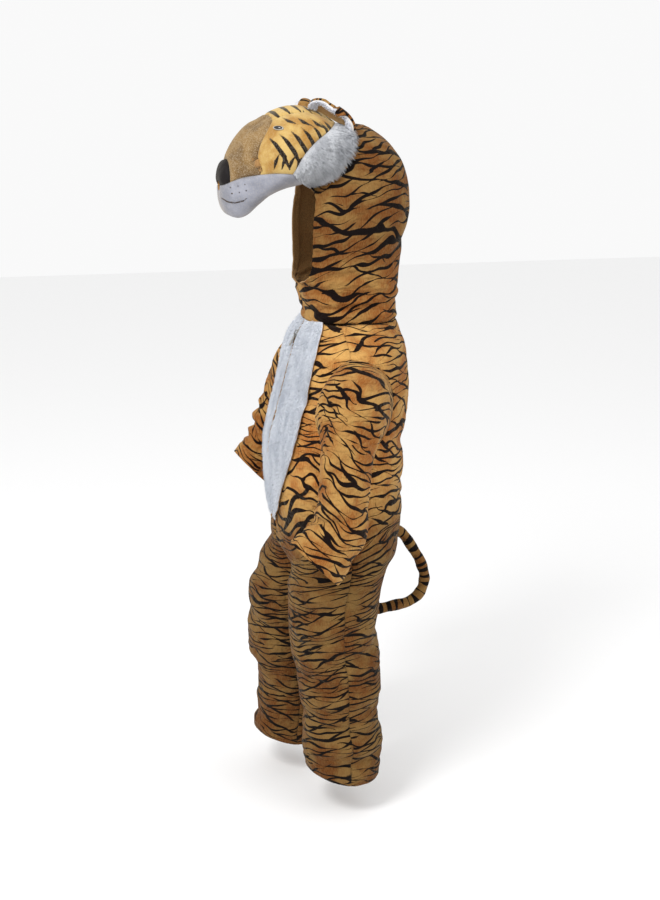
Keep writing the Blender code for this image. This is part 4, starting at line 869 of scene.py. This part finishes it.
ROW_APART = 0.0009              # least distance of an even row from an edge's own
HOOD_ROWS, HOOD_COLUMNS = 84, 66
for side, side_name in SIDES.items():
    name = f"hood_{side_name}"
    even = np.linspace(HOOD.keys[0], HOOD.keys[-1], HOOD_ROWS)
    even = even[np.abs(even[:, None] - FACE_OPENING.keys[None, :]).min(1) > ROW_APART]
    heights = np.sort(np.concatenate([even, FACE_OPENING.keys]))
    height, share = grid_of(heights, np.linspace(0.0, 1.0, HOOD_COLUMNS))
    edge = FACE_OPENING.at(height)[0]
    turn = edge + share * (180 - edge)
    base = hood_point(height, side * np.radians(turn))
    inside = base * np.array([0.0, 0.0, 1.0]) + np.array([0.0, HOOD_SIDE_LINE, 0.0])
    rise = smooth_step(NECK_HEIGHT, NECK_HEIGHT + 0.008, height) * fold_rise(
        HOOD_FOLDS + HOOD_CREASES, height, turn)
    left, right, top, bottom = edge_distances(base)
    calm = smooth_step(0.0, 0.012, np.minimum(np.minimum(left, right), np.minimum(top, bottom)))
    rise = rise + calm * crumples(base, [(0.0009, 2.0, 0.030, 41 + side)])
    open_edge = smooth_step(2.0, 6.0, edge)
    facing = (0.0012 * np.exp(-(left / 0.0045) ** 2)
              - 0.0011 * np.exp(-((left - 0.0105) / 0.0020) ** 2))
    rise = rise + open_edge * facing + (1 - open_edge) * seam_valley(left)
    rise = rise + seam_valley(right) + seam_valley(top)
    soft_cloth(name, base, inside, rise, HOOD_PLUSH, hood_shade(height),
               flow_shift=(5.3 + side, 2.9 * side), keep_side=side, from_far_edge=True,
               tilt=HOOD_SLANT)


# The tiger's face, whose pieces share their seams

def between(a, b, part):
    """Places between a and b, by the part of the way."""
    part = np.asarray(part, float)[..., None]
    return np.asarray(a, float) + (np.asarray(b, float) - np.asarray(a, float)) * part


def seam_of(table, count):
    """Places (y, angle) along one of the face's side seams, from the bottom up."""
    shares = np.linspace(0.0, 1.0, count)
    y, height = table.at(shares)
    return np.stack([y, face_angles(y, height)], -1)


def over_top(side_places, ys, columns):
    """Rows from places on the left side over the top to their mirror on the right."""
    share = np.abs(np.linspace(-1.0, 1.0, columns))[None, :]
    left = np.linspace(-1.0, 1.0, columns)[None, :] <= 0
    y = ys[:, None] + (side_places[:, :1] - ys[:, None]) * share
    angle = math.pi + (side_places[:, 1:] - math.pi) * share
    return np.stack([y, np.where(left, angle, 2 * math.pi - angle)], -1)


def pillow(rows, columns, power=2.6):
    """The rise of a padded piece, from 1 in the middle to 0 at its edges."""
    u = np.abs(np.linspace(-1, 1, rows))[:, None]
    v = np.abs(np.linspace(-1, 1, columns))[None, :]
    return (1 - u ** power) * (1 - v ** power)


def stroke_depth(strokes, across, up):
    """How far a place lies inside the nearest of some tapered strokes, negative outside.
    A stroke is a list of (across, up, half width) points."""
    found = np.full(np.shape(across), -1.0)
    for stroke in strokes:
        for (x0, y0, w0), (x1, y1, w1) in zip(stroke, stroke[1:]):
            dx, dy = x1 - x0, y1 - y0
            part = np.clip(((across - x0) * dx + (up - y0) * dy) / (dx * dx + dy * dy), 0, 1)
            away = np.hypot(across - x0 - dx * part, up - y0 - dy * part)
            found = np.maximum(found, w0 + (w1 - w0) * part - away)
    return found


FACE_VALLEY = 0.0012
FACE_VALLEY_REACH = 0.0022


def face_piece(name, places, crown, finish, depth=0.0058, extra=0.0, strokes=None, seed=1,
               fuzz=0.0005):
    """A padded piece on the face. strokes(base) gives the depth inside its dark marks."""
    rows, columns = places.shape[:2]
    base = face_point(places[..., 0], places[..., 1])
    inside = vec(0.0, np.maximum(base[..., 1], -0.14), 1.01)
    left, right, top, bottom = edge_distances(base)
    near = np.minimum(np.minimum(left, right), np.minimum(top, bottom))
    calm = smooth_step(0.0, 0.006, near)
    rise = crown * pillow(rows, columns) + calm * (extra + crumples(base, [(fuzz, 1.0, 0.012, seed)]))
    rise = rise - FACE_VALLEY * np.exp(-(near / FACE_VALLEY_REACH) ** 2)
    piece, outer, normal = cloth_wall(f"{name}_plush", base, inside, rise, finish, BACKING,
                                      wall=depth, flow_shift=(seed * 0.41, seed * 0.77))
    ink = strokes(base) if strokes else np.full(base.shape[:2], -1.0)
    set_values(piece, "ink", "FLOAT", np.concatenate([ink.ravel(), ink.ravel()]))
    place_piece(piece, name)
    return outer, normal


FINE = 9                       # grid cells for each of the solid's own
CHEEK_LONG, CHEEK_TALL, TUFT_LONG, SNOUT_PARTS, NOSE_PARTS = 5, 6, 3, 3, 3
MUZZLE_COLUMNS, NOSE_COLUMNS, BRIDGE_COLUMNS, CROWN_COLUMNS = 91, 61, 73, 97
cheek_front, cheek_rear, tuft_rear = (
    seam_of(table, CHEEK_TALL * FINE + 1) for table in (CHEEK_FRONT, CHEEK_REAR, TUFT_REAR))


def muzzle_seam(start, end, count):
    ys = start + (end - start) * np.arange(count) / count
    return np.stack([ys, face_angles(ys, MUZZLE_EDGE.at(ys)[0])], -1)


def run(start, end, count):
    return between(start, end, np.arange(count) / count)


nose_side = muzzle_seam(FACE_TIP, NOSE_REAR, NOSE_PARTS * FINE)
snout_side = muzzle_seam(NOSE_REAR, cheek_front[0, 0], SNOUT_PARTS * FINE)
low_seam = np.concatenate([nose_side, snout_side, run(cheek_front[0], cheek_rear[0], CHEEK_LONG * FINE),
                           run(cheek_rear[0], tuft_rear[0], TUFT_LONG * FINE), tuft_rear[:1]])


def muzzle_marks(base):
    """The stitched mouth and the whisker dots, on both sides alike."""
    x, y, height = np.abs(base[..., 0]), base[..., 1], base[..., 2]
    mouth = [[(-0.1865, 0.9770, 0.0007), (-0.1790, 0.9732, 0.0009), (-0.1690, 0.9728, 0.0010),
              (-0.1590, 0.9760, 0.0010), (-0.1530, 0.9800, 0.0006)]]
    dots = [[(py, h, 0.0012), (py + 0.0001, h, 0.0012)] for py, h in (
        (-0.1760, 0.9935), (-0.1660, 0.9960), (-0.1570, 0.9985), (-0.1740, 0.9850), (-0.1640, 0.9870),
        (-0.1550, 0.9900))]
    side = np.maximum(stroke_depth(mouth, y, height), stroke_depth(dots, y, height))
    cleft = np.where(y < -0.172, 0.0007 - x, -1.0)
    return np.maximum(np.where(x > 0.006, side, -1.0), cleft)


share = np.linspace(-1.0, 1.0, MUZZLE_COLUMNS)[None, :]
muzzle_places = np.stack(np.broadcast_arrays(low_seam[:, :1], low_seam[:, 1:] * share), -1)
muzzle_base = face_point(muzzle_places[..., 0], muzzle_places[..., 1])
puffs = 0.0032 * np.exp(-((muzzle_base[..., 1] + 0.162) / 0.016) ** 2) * smooth_step(
    0.0, 0.020, np.abs(muzzle_base[..., 0]))
face_piece("muzzle", muzzle_places, 0.0030, MUZZLE_PLUSH, extra=puffs, strokes=muzzle_marks, seed=3,
           fuzz=0.00025)

nose_rows = np.concatenate([nose_side, snout_side[:1]])
face_piece("nose", over_top(nose_rows, nose_rows[:, 0], NOSE_COLUMNS), 0.0045, NOSE_PILE, seed=4)

bridge_side = np.concatenate([snout_side, cheek_front])
part = np.arange(len(bridge_side)) / (len(bridge_side) - 1)
bridge_top = NOSE_REAR + (cheek_front[-1, 0] - NOSE_REAR) * part ** BRIDGE_SWEEP
bridge_places = over_top(bridge_side, bridge_top, BRIDGE_COLUMNS)
bridge_base = face_point(bridge_places[..., 0], bridge_places[..., 1])
dimples = (-0.0022 * np.exp(-((np.abs(bridge_base[..., 0]) - 0.021) / 0.0050) ** 2)
           * smooth_step(-0.170, -0.150, bridge_base[..., 1])
           + 0.0014 * np.exp(-(bridge_base[..., 0] / 0.010) ** 2)
           - 0.0016 * np.exp(-((bridge_base[..., 1] + 0.128) / 0.0070) ** 2))
face_piece("snout_bridge", bridge_places, 0.0020, SUEDE, extra=dimples, seed=5, fuzz=0.0004)


def crown_marks(base):
    """Dark strokes across the crown, mirrored about its middle, that bend back at their ends."""
    x, y = np.abs(base[..., 0]), base[..., 1]
    strokes = [[(0.000, -0.1080 + 0.0150 * i, 0.0024), (0.018, -0.1085 + 0.0152 * i, 0.0030),
                (0.036, -0.1070 + 0.0155 * i, 0.0024),
                (0.052 - 0.002 * i, -0.1030 + 0.0160 * i, 0.0003)]
               for i in range(6)]
    strokes += [[(0.040, -0.1010 + 0.0160 * i, 0.0003), (0.056, -0.0990 + 0.0162 * i, 0.0027),
                 (0.070, -0.0950 + 0.0165 * i, 0.0021), (0.080, -0.0890 + 0.0168 * i, 0.0003)]
                for i in range(5)]
    return stroke_depth(strokes, x, y)


top_side = np.concatenate([run(cheek_front[-1], cheek_rear[-1], CHEEK_LONG * FINE), cheek_rear[-1:]])
face_piece("forehead", over_top(top_side, top_side[:, 0], CROWN_COLUMNS), 0.0025, CHEEK_PLUSH,
           strokes=crown_marks, seed=6)


def cheek_marks(base):
    """Long bold strokes that fall towards the back, and a fan of short ones low in front."""
    y, height = base[..., 1], base[..., 2]
    strokes = []
    for i in range(6):
        front = -0.1240 + 0.0145 * i
        top = 1.0640 + 0.0040 * i
        strokes.append([(front, top, 0.0005), (front + 0.009, top - 0.010, 0.0026),
                        (front + 0.018, top - 0.024, 0.0032), (front + 0.026, top - 0.044, 0.0009)])
    for i in range(4):
        front = -0.1030 + 0.0190 * i
        top = 1.0930 - 0.0020 * i
        strokes.append([(front, top, 0.0004), (front + 0.008, top - 0.008, 0.0025),
                        (front + 0.019, top - 0.013, 0.0005)])
    for i in range(4):
        front = -0.1190 + 0.0100 * i
        strokes.append([(front + 0.007, 1.0400 - 0.0010 * i, 0.0006), (front + 0.003, 1.0310, 0.0023),
                        (front, 1.0205, 0.0005)])
    return stroke_depth(strokes, y, height)


def face_rows(front, rear, count):
    """Places from one seam to the next, both included."""
    return between(front[:, None], rear[:, None], (np.arange(count + 1) / count)[None, :])


TUFTS = {}
for side, side_name in SIDES.items():
    mirror = np.array([1.0, side])
    cheek = face_rows(cheek_front, cheek_rear, CHEEK_LONG * FINE) * mirror
    face_piece(f"cheek_{side_name}", cheek, 0.0060, CHEEK_PLUSH, strokes=cheek_marks, seed=7 + side)
    tuft = face_rows(cheek_rear, tuft_rear, TUFT_LONG * FINE) * mirror
    TUFTS[side] = face_piece(f"tuft_{side_name}", tuft, 0.0040, TUFT_FUR, depth=0.0065, seed=11 + side)


# Ears, seated on the solids that carry them

EAR_FRONT = (-0.0600, 0.036)
EAR_REAR = (-0.0020, 0.066)
EAR_SEAT = 0.0003
EAR_SEARCH = 0.040
EAR_HEIGHT = 0.019
EAR_LEAN = Vector((0.45, 0.0, 0.90)).normalized()
EAR_CUP = 0.007
EAR_PLUSH = 0.0042
EAR_ROUND = 2.4
EAR_GROUNDS = 8
EAR_ROWS, EAR_COLUMNS = 30, 52
EAR_TOP = 0.975
EAR_INNER = 0.56
EAR_FRONT_FULL = 0.0014
EAR_BACK_FULL = 0.0012
# Painted shade: the ears' striped backs are painted darker.
EAR_SHADE = 0.55


def face_top(y, out):
    _, middle, top, half_width = [float(v) for v in FACE.at(y)]
    rise = (1 - (out / half_width) ** FACE_ROUND) ** (1 / FACE_ROUND)
    return Vector((out, y, middle + (top - middle) * rise))


def ear_line(along, wide):
    ends = [Vector((*end, 0.0)) for end in (EAR_FRONT, EAR_REAR)]
    place = ends[0].lerp(ends[1], 0.5 + 0.5 * along * wide)
    return face_top(place.x, place.y)


def ear_ground(face):
    """Table of how far above the face's form the ear's lower edge lies."""
    points, faces = [], []
    for name in ("forehead", "cheek_left", "tuft_left"):
        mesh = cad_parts[name].data
        faces += [[len(points) + i for i in polygon.vertices] for polygon in mesh.polygons]
        points += [vertex.co + Vector((0, 0, SHOULDER_HEIGHT)) for vertex in mesh.vertices]
    surface = BVHTree.FromPolygons(points, faces)
    rows = []
    for along in np.linspace(-1.0, 1.0, EAR_GROUNDS):
        needed = []
        for thick in np.linspace(0.0, 2 * EAR_PLUSH + SEAM_GAP, 5):
            start = ear_line(along, 1.0) - face * (EAR_CUP * (1 - along * along) - thick)
            distance = surface.ray_cast(start + EAR_LEAN * EAR_SEARCH, -EAR_LEAN)[3]
            if distance is not None:
                needed.append(EAR_SEARCH - distance + EAR_SEAT)
        rows.append((along, max(needed)))
    return Table(rows, 1)


chord = (face_top(*EAR_REAR) - face_top(*EAR_FRONT)).normalized()
ear_face = chord.cross(EAR_LEAN).normalized()
GROUND = ear_ground(ear_face)
ups = np.linspace(0.0, EAR_TOP, EAR_ROWS) ** 0.85
alongs = np.linspace(-1.0, 1.0, EAR_COLUMNS)
EARS = {}
for side, side_name in SIDES.items():
    base = np.empty((len(ups), len(alongs), 3))
    for i, up in enumerate(ups):
        wide = (1 - up ** EAR_ROUND) ** (1 / EAR_ROUND)
        for j, along in enumerate(alongs):
            lift = float(GROUND.at(along)[0]) + EAR_HEIGHT * up
            hollow = EAR_CUP * (1 - along * along) * (1 - up * up)
            point = ear_line(along, wide) + EAR_LEAN * lift - ear_face * hollow
            base[i, j] = (side * point.x, point.y, point.z)
    normal = grid_normals(base, vec(side * 0.2, -0.15, 1.0))
    rim = np.maximum(np.abs(alongs)[None, :] ** 3, (ups[:, None] / EAR_TOP) ** 3)
    for layer, (name, finish) in enumerate((("front", EAR_WHITE), ("back", EAR_PLUSH_CLOTH))):
        start = layer * (EAR_PLUSH + SEAM_GAP)
        outer = base + normal * start
        inner_wall = base + normal * (start + EAR_PLUSH)
        if name == "front":
            outer = outer + normal * (EAR_FRONT_FULL * (1 - rim))[..., None]
        else:
            inner_wall = inner_wall + normal * (EAR_BACK_FULL * (1 - rim))[..., None]
        faces, _ = wall_faces(*base.shape[:2], False, False)
        piece = mesh_from(f"ear_{side_name}_{name}_plush",
                          np.concatenate([outer.reshape(-1, 3), inner_wall.reshape(-1, 3)]),
                          faces.tolist(), [finish])
        fix_outward(piece)
        # The tan middle inside the white rim is partly painted shade of the ear's cup.
        ink = EAR_INNER - rim
        set_values(piece, "ink", "FLOAT", np.concatenate([ink.ravel() * 0.01] * 2))
        flow = vec(arc_lengths(base, 1), arc_lengths(base, 0), side).reshape(-1, 3)
        set_values(piece, "flow", "FLOAT_VECTOR", np.concatenate([flow, flow]))
        set_values(piece, "shade", "FLOAT", np.full(2 * ink.size, EAR_SHADE))
        place_piece(piece, f"ear_{side_name}_{name}")
        if name == "front":
            EARS[side] = (outer, -normal, rim)


# Eyes: a felt patch with a domed black pupil

EYE_CENTRE = (-0.1090, 1.0750)
EYE_SHOWN = 0.0064
EYE_FLAT = 0.42
EYE_PUPIL = 0.76
EYE_STEP = 0.02
EYE_FELT = 0.0012
EYE_DOME = 0.0014
EYE_SEAT = 0.0055
EYE_SUNK = 0.0006
EYE_ROWS, EYE_COLUMNS = 15, 44
for side, side_name in SIDES.items():
    radii = np.linspace(0.02, 1.0, EYE_ROWS)[:, None]
    turns = np.linspace(0.0, 2 * math.pi, EYE_COLUMNS, endpoint=False)[None, :]
    y = EYE_CENTRE[0] + EYE_SHOWN * radii * np.cos(turns)
    height = EYE_CENTRE[1] + EYE_FLAT * EYE_SHOWN * radii * np.sin(turns)
    base = face_point(y, side * face_angles(y, height))
    normal = grid_normals(base, vec(0.0, -0.10, 1.03), True)
    dome = EYE_DOME * np.sqrt(np.maximum(1 - (radii / EYE_PUPIL) ** 2, 0))
    felt = EYE_SEAT + EYE_FELT * np.sqrt(np.maximum(1 - radii ** 6, 0))
    outer = base + normal * (felt + dome)[..., None]
    inner = base + normal * (EYE_SEAT - EYE_SUNK)
    faces, slots = wall_faces(EYE_ROWS, EYE_COLUMNS, True, False)
    pupil = np.repeat(radii[:-1, 0] < EYE_PUPIL - EYE_STEP, EYE_COLUMNS)
    slots[:len(pupil)] = pupil
    slots[len(pupil):] = 0
    last = 2 * EYE_ROWS * EYE_COLUMNS
    tip = [[(j + 1) % EYE_COLUMNS, j, last] for j in range(EYE_COLUMNS)]
    faces = faces.tolist() + tip
    points = np.concatenate([outer.reshape(-1, 3), inner.reshape(-1, 3), outer[:1].mean(1)])
    piece = mesh_from(f"eye_{side_name}_patch", points, faces, [EYE_WHITE, EYE_GLOSS],
                      np.concatenate([slots, np.ones(EYE_COLUMNS, int)]))
    fix_outward(piece)
    place_piece(piece, f"eye_{side_name}")


# Belly panels with their pile

def strands(name, roots, ways, lengths, radius, curl, material, rng):
    """Closed three-sided locks of pile, each bent once towards curl."""
    count = len(roots)
    ways = ways / np.linalg.norm(ways, axis=1, keepdims=True)
    ahead = curl - ways * np.sum(curl * ways, axis=1, keepdims=True)
    side_way = np.cross(ways, (0.31, 0.22, 0.93))
    side_way /= np.linalg.norm(side_way, axis=1, keepdims=True)
    other = np.cross(ways, side_way)
    spin = rng.uniform(0, 2 * math.pi, count)
    lengths = lengths[:, None]
    middle = roots + ways * lengths * 0.55 + ahead * lengths * 0.14
    tip = roots + ways * lengths + ahead * lengths * 0.55
    points = np.empty((count, 7, 3))
    for k in range(3):
        turn = (spin + 2 * math.pi * k / 3)[:, None]
        around = side_way * np.cos(turn) + other * np.sin(turn)
        points[:, k] = roots + around * radius
        points[:, 3 + k] = middle + around * radius * 0.72
    points[:, 6] = tip
    one = np.array([(0, 2, 1), (3, 4, 6), (4, 5, 6), (5, 3, 6)])
    walls = np.array([(0, 1, 4, 3), (1, 2, 5, 4), (2, 0, 3, 5)])
    first = np.arange(count)[:, None, None] * 7
    faces = (one + first).reshape(-1, 3).tolist() + (walls + first).reshape(-1, 4).tolist()
    return mesh_from(name, points, faces, [material])


def grid_samples(outer, normal, count, rng, keep=None):
    """Places at random, evenly over a grid's area, their normals and shares across it."""
    a, b, d = outer[:-1, :-1], outer[:-1, 1:], outer[1:, :-1]
    area = np.linalg.norm(np.cross(b - a, d - a), axis=-1)
    if keep is not None:
        area = area * keep[:-1, :-1]
    chosen = rng.choice(area.size, count, p=(area / area.sum()).ravel())
    i, j = np.unravel_index(chosen, area.shape)
    s, t = rng.random((count, 1)), rng.random((count, 1))
    spots = (outer[i, j] * (1 - s) * (1 - t) + outer[i + 1, j] * s * (1 - t)
             + outer[i, j + 1] * (1 - s) * t + outer[i + 1, j + 1] * s * t)
    return spots, normal[i, j], (j + t[:, 0]) / (outer.shape[1] - 1)


TAPE_HALF = 0.0052
TAPE_THICK = 0.0014
LAID_ON = 0.0012
ZIP_TOP = 0.7855
ZIP_BOTTOM = 0.470
BELLY_POINT = 0.480
BELLY_LEAST = 0.02
FUR_BACKING = 0.0015
BELLY_LOCKS, BELLY_LOCK_RADIUS = 15000, 0.00042
TUFT_LOCKS, TUFT_LOCK_RADIUS = 5200, 0.00060
EAR_LOCKS, EAR_LOCK_RADIUS = 2600, 0.00045
RIM_FROM = 0.30                # where the ears' pile starts, 0 in the middle and 1 at the rim
PILE_LIFT = 0.0014
BELLY_GRID = (104, 40)


def belly_angle(height, out):
    return np.arcsin((out / TORSO.at(height)[0]) ** (BODY_ROUND / 2))


def torso_rise(height, angle):
    """How far the fronts' main folds lift them at a place."""
    side = 1 if np.mean(angle) >= 0 else -1
    quarter = math.pi / 2 - armhole_reach(height)
    return panel_rise(side, 1, height, np.minimum(np.abs(angle) / quarter, 1.0), fine=False)


for side, side_name in SIDES.items():
    name = f"belly_{side_name}"
    heights = np.linspace(BELLY_POINT, NECK_HEIGHT, BELLY_GRID[0])[:, None]
    inner_edge = belly_angle(heights, TAPE_HALF + SEAM_GAP)
    outer_edge = np.maximum(np.radians(BELLY.at(heights)[0]), inner_edge + BELLY_LEAST)
    shares = np.linspace(0, 1, BELLY_GRID[1])[None, :]
    height, angle = np.broadcast_arrays(heights, inner_edge + (outer_edge - inner_edge) * shares)
    base = torso_point(height, side * angle)
    rise = torso_rise(height, side * angle) + LAID_ON + FUR_BACKING
    rise = rise + PILE_LIFT + crumples(base, [(0.0008, 0.7, 0.022, 51 + side)])
    piece, outer, normal = cloth_wall(f"{name}_fur", base, inside_body(base), rise, BELLY_FUR, BACKING,
                                      wall=FUR_BACKING)
    place_piece(piece, name)
    rng = np.random.default_rng(61 + side)
    roots, ways, _ = grid_samples(outer, normal, BELLY_LOCKS, rng)
    down = vec(0.0, 0.0, -1.0)
    ways = ways + rng.normal(0, 0.22, roots.shape) + down * 0.85
    lengths = rng.uniform(0.0045, 0.0075, len(roots))
    pile = strands(f"{name}_pile", roots, ways, lengths, BELLY_LOCK_RADIUS, down, BELLY_FUR, rng)
    join(pile)


# Long pile of the side tufts and short pile of the ears' rims

for side, side_name in SIDES.items():
    outer, normal = TUFTS[side]
    rng = np.random.default_rng(71 + side)
    roots, ways, deep = grid_samples(outer, normal, TUFT_LOCKS, rng)
    back = vec(0.0, 0.8, -0.55)
    ways = ways * 0.55 + back * 0.9 + rng.normal(0, 0.16, roots.shape)
    lengths = rng.uniform(0.006, 0.012, len(roots)) * (0.7 + 0.5 * deep)
    pile = strands(f"tuft_{side_name}_pile", roots, ways, lengths, TUFT_LOCK_RADIUS,
                   back + vec(0.0, 0.1, -0.5), TUFT_FUR, rng)
    join(pile)
    outer, normal, rim = EARS[side]
    roots, ways, _ = grid_samples(outer, normal, EAR_LOCKS, rng, keep=(rim > RIM_FROM).astype(float))
    ways = ways * 0.6 + vec(side * 0.3, 0.0, 0.6) + rng.normal(0, 0.25, roots.shape)
    lengths = rng.uniform(0.0035, 0.0060, len(roots))
    pile = strands(f"ear_{side_name}_pile", roots, ways, lengths, EAR_LOCK_RADIUS,
                   vec(0.0, -0.3, 0.3), FACE_FUR, rng)
    join(pile)


# Zip tape and its teeth

TAPE_ROWS, TAPE_COLUMNS = 106, 13
TOOTH = (0.0017, 0.0007, 0.00085)
TOOTH_APART = 0.00125
TOOTH_OFFSET = 0.0004          # each tooth's place off the middle, to one side and the other
heights, across = grid_of(np.linspace(ZIP_BOTTOM, ZIP_TOP, TAPE_ROWS), np.linspace(-1, 1, TAPE_COLUMNS))
angle = belly_angle(heights, TAPE_HALF) * across
base = torso_point(heights, angle)
rise = torso_rise(heights, angle) + LAID_ON + TAPE_THICK * 0.75
tape, tape_face, tape_normal = cloth_wall("zip_tape_cloth", base, inside_body(base), rise, TAPE_WEAVE,
                                          TAPE_WEAVE, wall=TAPE_THICK * 0.7)
place_piece(tape, "zip_tape")
points, faces = [], []
corners = np.array([(x, y, z) for x in (-1, 1) for y in (-1, 1) for z in (-1, 1)], float) / 2
box_faces = ((0, 1, 3, 2), (4, 6, 7, 5), (0, 4, 5, 1), (2, 3, 7, 6), (0, 2, 6, 4), (1, 5, 7, 3))
middle = TAPE_COLUMNS // 2
for i, h in enumerate(np.arange(ZIP_BOTTOM + 0.004, ZIP_TOP - 0.002, TOOTH_APART)):
    row = (h - ZIP_BOTTOM) / (ZIP_TOP - ZIP_BOTTOM) * (len(tape_face) - 1)
    k = min(int(row), len(tape_face) - 2)
    spot = between(tape_face[k, middle], tape_face[k + 1, middle], row - k)
    spot = spot + tape_normal[k, middle] * TOOTH[1] / 3 + vec(TOOTH_OFFSET * (1 if i % 2 else -1), 0, 0)
    faces += [[len(points) + f for f in face] for face in box_faces]
    points += (spot + corners * np.array(TOOTH)).tolist()
teeth = mesh_from("zip_teeth", points, faces, [TEETH], smooth=False)
join(teeth)

for name in ("zip_slider", "zip_pull"):
    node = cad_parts[name]
    node.data.materials.clear()
    node.data.materials.append(METAL)


# Tail

TAIL_RADIUS = 0.0088
# Painted shade: the tail's colour is painted darker.
TAIL_SHADE = 0.36
TAIL_TAPER = 0.011
route = Table([(i, *point) for i, point in enumerate(TAIL_ROUTE)], (1, MILLI, MILLI, MILLI))
rings, sides = 170, 28
centres = np.stack(route.at(np.linspace(0, len(TAIL_ROUTE) - 1, rings)), -1)
ahead = np.gradient(centres, axis=0)
ahead /= np.linalg.norm(ahead, axis=1, keepdims=True)
up = np.cross(np.tile((1.0, 0.0, 0.0), (rings, 1)), ahead)
up /= np.linalg.norm(up, axis=1, keepdims=True)
across = np.cross(ahead, up)
turns = np.linspace(0, 2 * math.pi, sides, endpoint=False)[None, :, None]
run_down = arc_lengths(centres, 0)
from_end = (run_down[-1] - run_down) / TAIL_TAPER
taper = np.where(from_end < 1, np.sqrt(np.maximum(1 - (1 - from_end) ** 2, 0.03)), 1.0)
ring = up[:, None] * np.cos(turns) + across[:, None] * np.sin(turns)
base = centres[:, None] + ring * (TAIL_RADIUS * taper)[:, None, None]
start_face = float(torso_point(TAIL_ROUTE[0][2] / MILLI + TAIL_RADIUS, math.pi)[1])
wrinkle = 0.00055 * np.sin(run_down / 0.0052 + 1.3 * np.sin(run_down / 0.017)) * taper
points = base + ring * (wrinkle[:, None] + crumples(base, [(0.0005, 1.0, 0.010, 91)]))[..., None]
points[0, :, 1] = start_face
faces = [(i + j, i + sides + j, i + sides + (j + 1) % sides, i + (j + 1) % sides)
         for i in range(0, (rings - 1) * sides, sides) for j in range(sides)]
faces += [tuple(range(sides)), tuple(range((rings - 1) * sides, rings * sides))[::-1]]
tail = mesh_from("tail_tube", points, faces, [TAIL_PLUSH])
fix_outward(tail)
set_values(tail, "flow", "FLOAT_VECTOR", vec(turns[..., 0] * TAIL_RADIUS, run_down[:, None], 0.0))
set_values(tail, "shade", "FLOAT", np.full(rings * sides, TAIL_SHADE))
place_piece(tail, "tail")


# Studio: a pale sweep, soft light and the photograph's camera

WORLD_LIGHT = 0.95
# Name, place, aim, power and size
LAMPS = [
    ("key", (1.30, -1.45, 1.75), (0.0, 0.0, 0.10), 40.0, 0.9),
    ("fill", (1.60, 1.20, 1.10), (0.0, 0.0, -0.1), 8.0, 1.4),
]


def studio():
    floor_height = -SHOULDER_HEIGHT
    bpy.ops.mesh.primitive_plane_add(size=14, location=(0, 0, floor_height))
    floor = bpy.context.object
    floor.name = "floor"
    paper = bpy.data.materials.new("paper")
    paper.use_nodes = True
    shader = paper.node_tree.nodes["Principled BSDF"]
    shader.inputs["Base Color"].default_value = (0.92, 0.92, 0.92, 1)
    shader.inputs["Roughness"].default_value = 0.95
    shader.inputs["Specular IOR Level"].default_value = 0.1
    floor.data.materials.append(paper)
    world = bpy.data.worlds.new("studio")
    bpy.context.scene.world = world
    world.use_nodes = True
    world.node_tree.nodes["Background"].inputs["Color"].default_value = (1.0, 1.0, 1.0, 1)
    world.node_tree.nodes["Background"].inputs["Strength"].default_value = WORLD_LIGHT
    for name, place, aim, power, size in LAMPS:
        lamp = bpy.data.lights.new(name, "AREA")
        lamp.energy = power
        lamp.shape = "DISK"
        lamp.size = size
        made = bpy.data.objects.new(name, lamp)
        made.location = place
        made.rotation_euler = (Vector(aim) - Vector(place)).to_track_quat("-Z", "Y").to_euler()
        bpy.context.scene.collection.objects.link(made)


bpy.context.scene.view_settings.view_transform = "Standard"
studio()

AZIMUTH = math.radians(75)     # of the camera, from the costume's front towards its left
PITCH = math.radians(-14.5)
DISTANCE = 2.10
CAMERA_HEIGHT = 1.12
FOCUS_PIXELS = 1362.0
PHOTO_SIZE = (660, 900)
AXIS_PIXEL = 341.0             # column of the picture the costume's middle stands on
yaw = math.atan((PHOTO_SIZE[0] / 2 - AXIS_PIXEL) / FOCUS_PIXELS)
level = Vector((-math.sin(AZIMUTH), math.cos(AZIMUTH), 0.0))
level.rotate(Matrix.Rotation(-yaw, 3, "Z"))
right = level.cross(Vector((0, 0, 1)))
ahead = level * math.cos(PITCH) + Vector((0, 0, math.sin(PITCH)))
upward = right.cross(ahead)
camera_data = bpy.data.cameras.new("camera")
camera_data.sensor_width = 36.0
camera_data.lens = 36.0 * FOCUS_PIXELS / PHOTO_SIZE[1]
camera_data.clip_start = 0.05
camera = bpy.data.objects.new("camera", camera_data)
turn = Matrix((right, upward, -ahead)).transposed().to_4x4()
place = (DISTANCE * math.sin(AZIMUTH), -DISTANCE * math.cos(AZIMUTH), CAMERA_HEIGHT - SHOULDER_HEIGHT)
camera.matrix_world = Matrix.Translation(place) @ turn
bpy.context.scene.collection.objects.link(camera)
bpy.context.scene.camera = camera
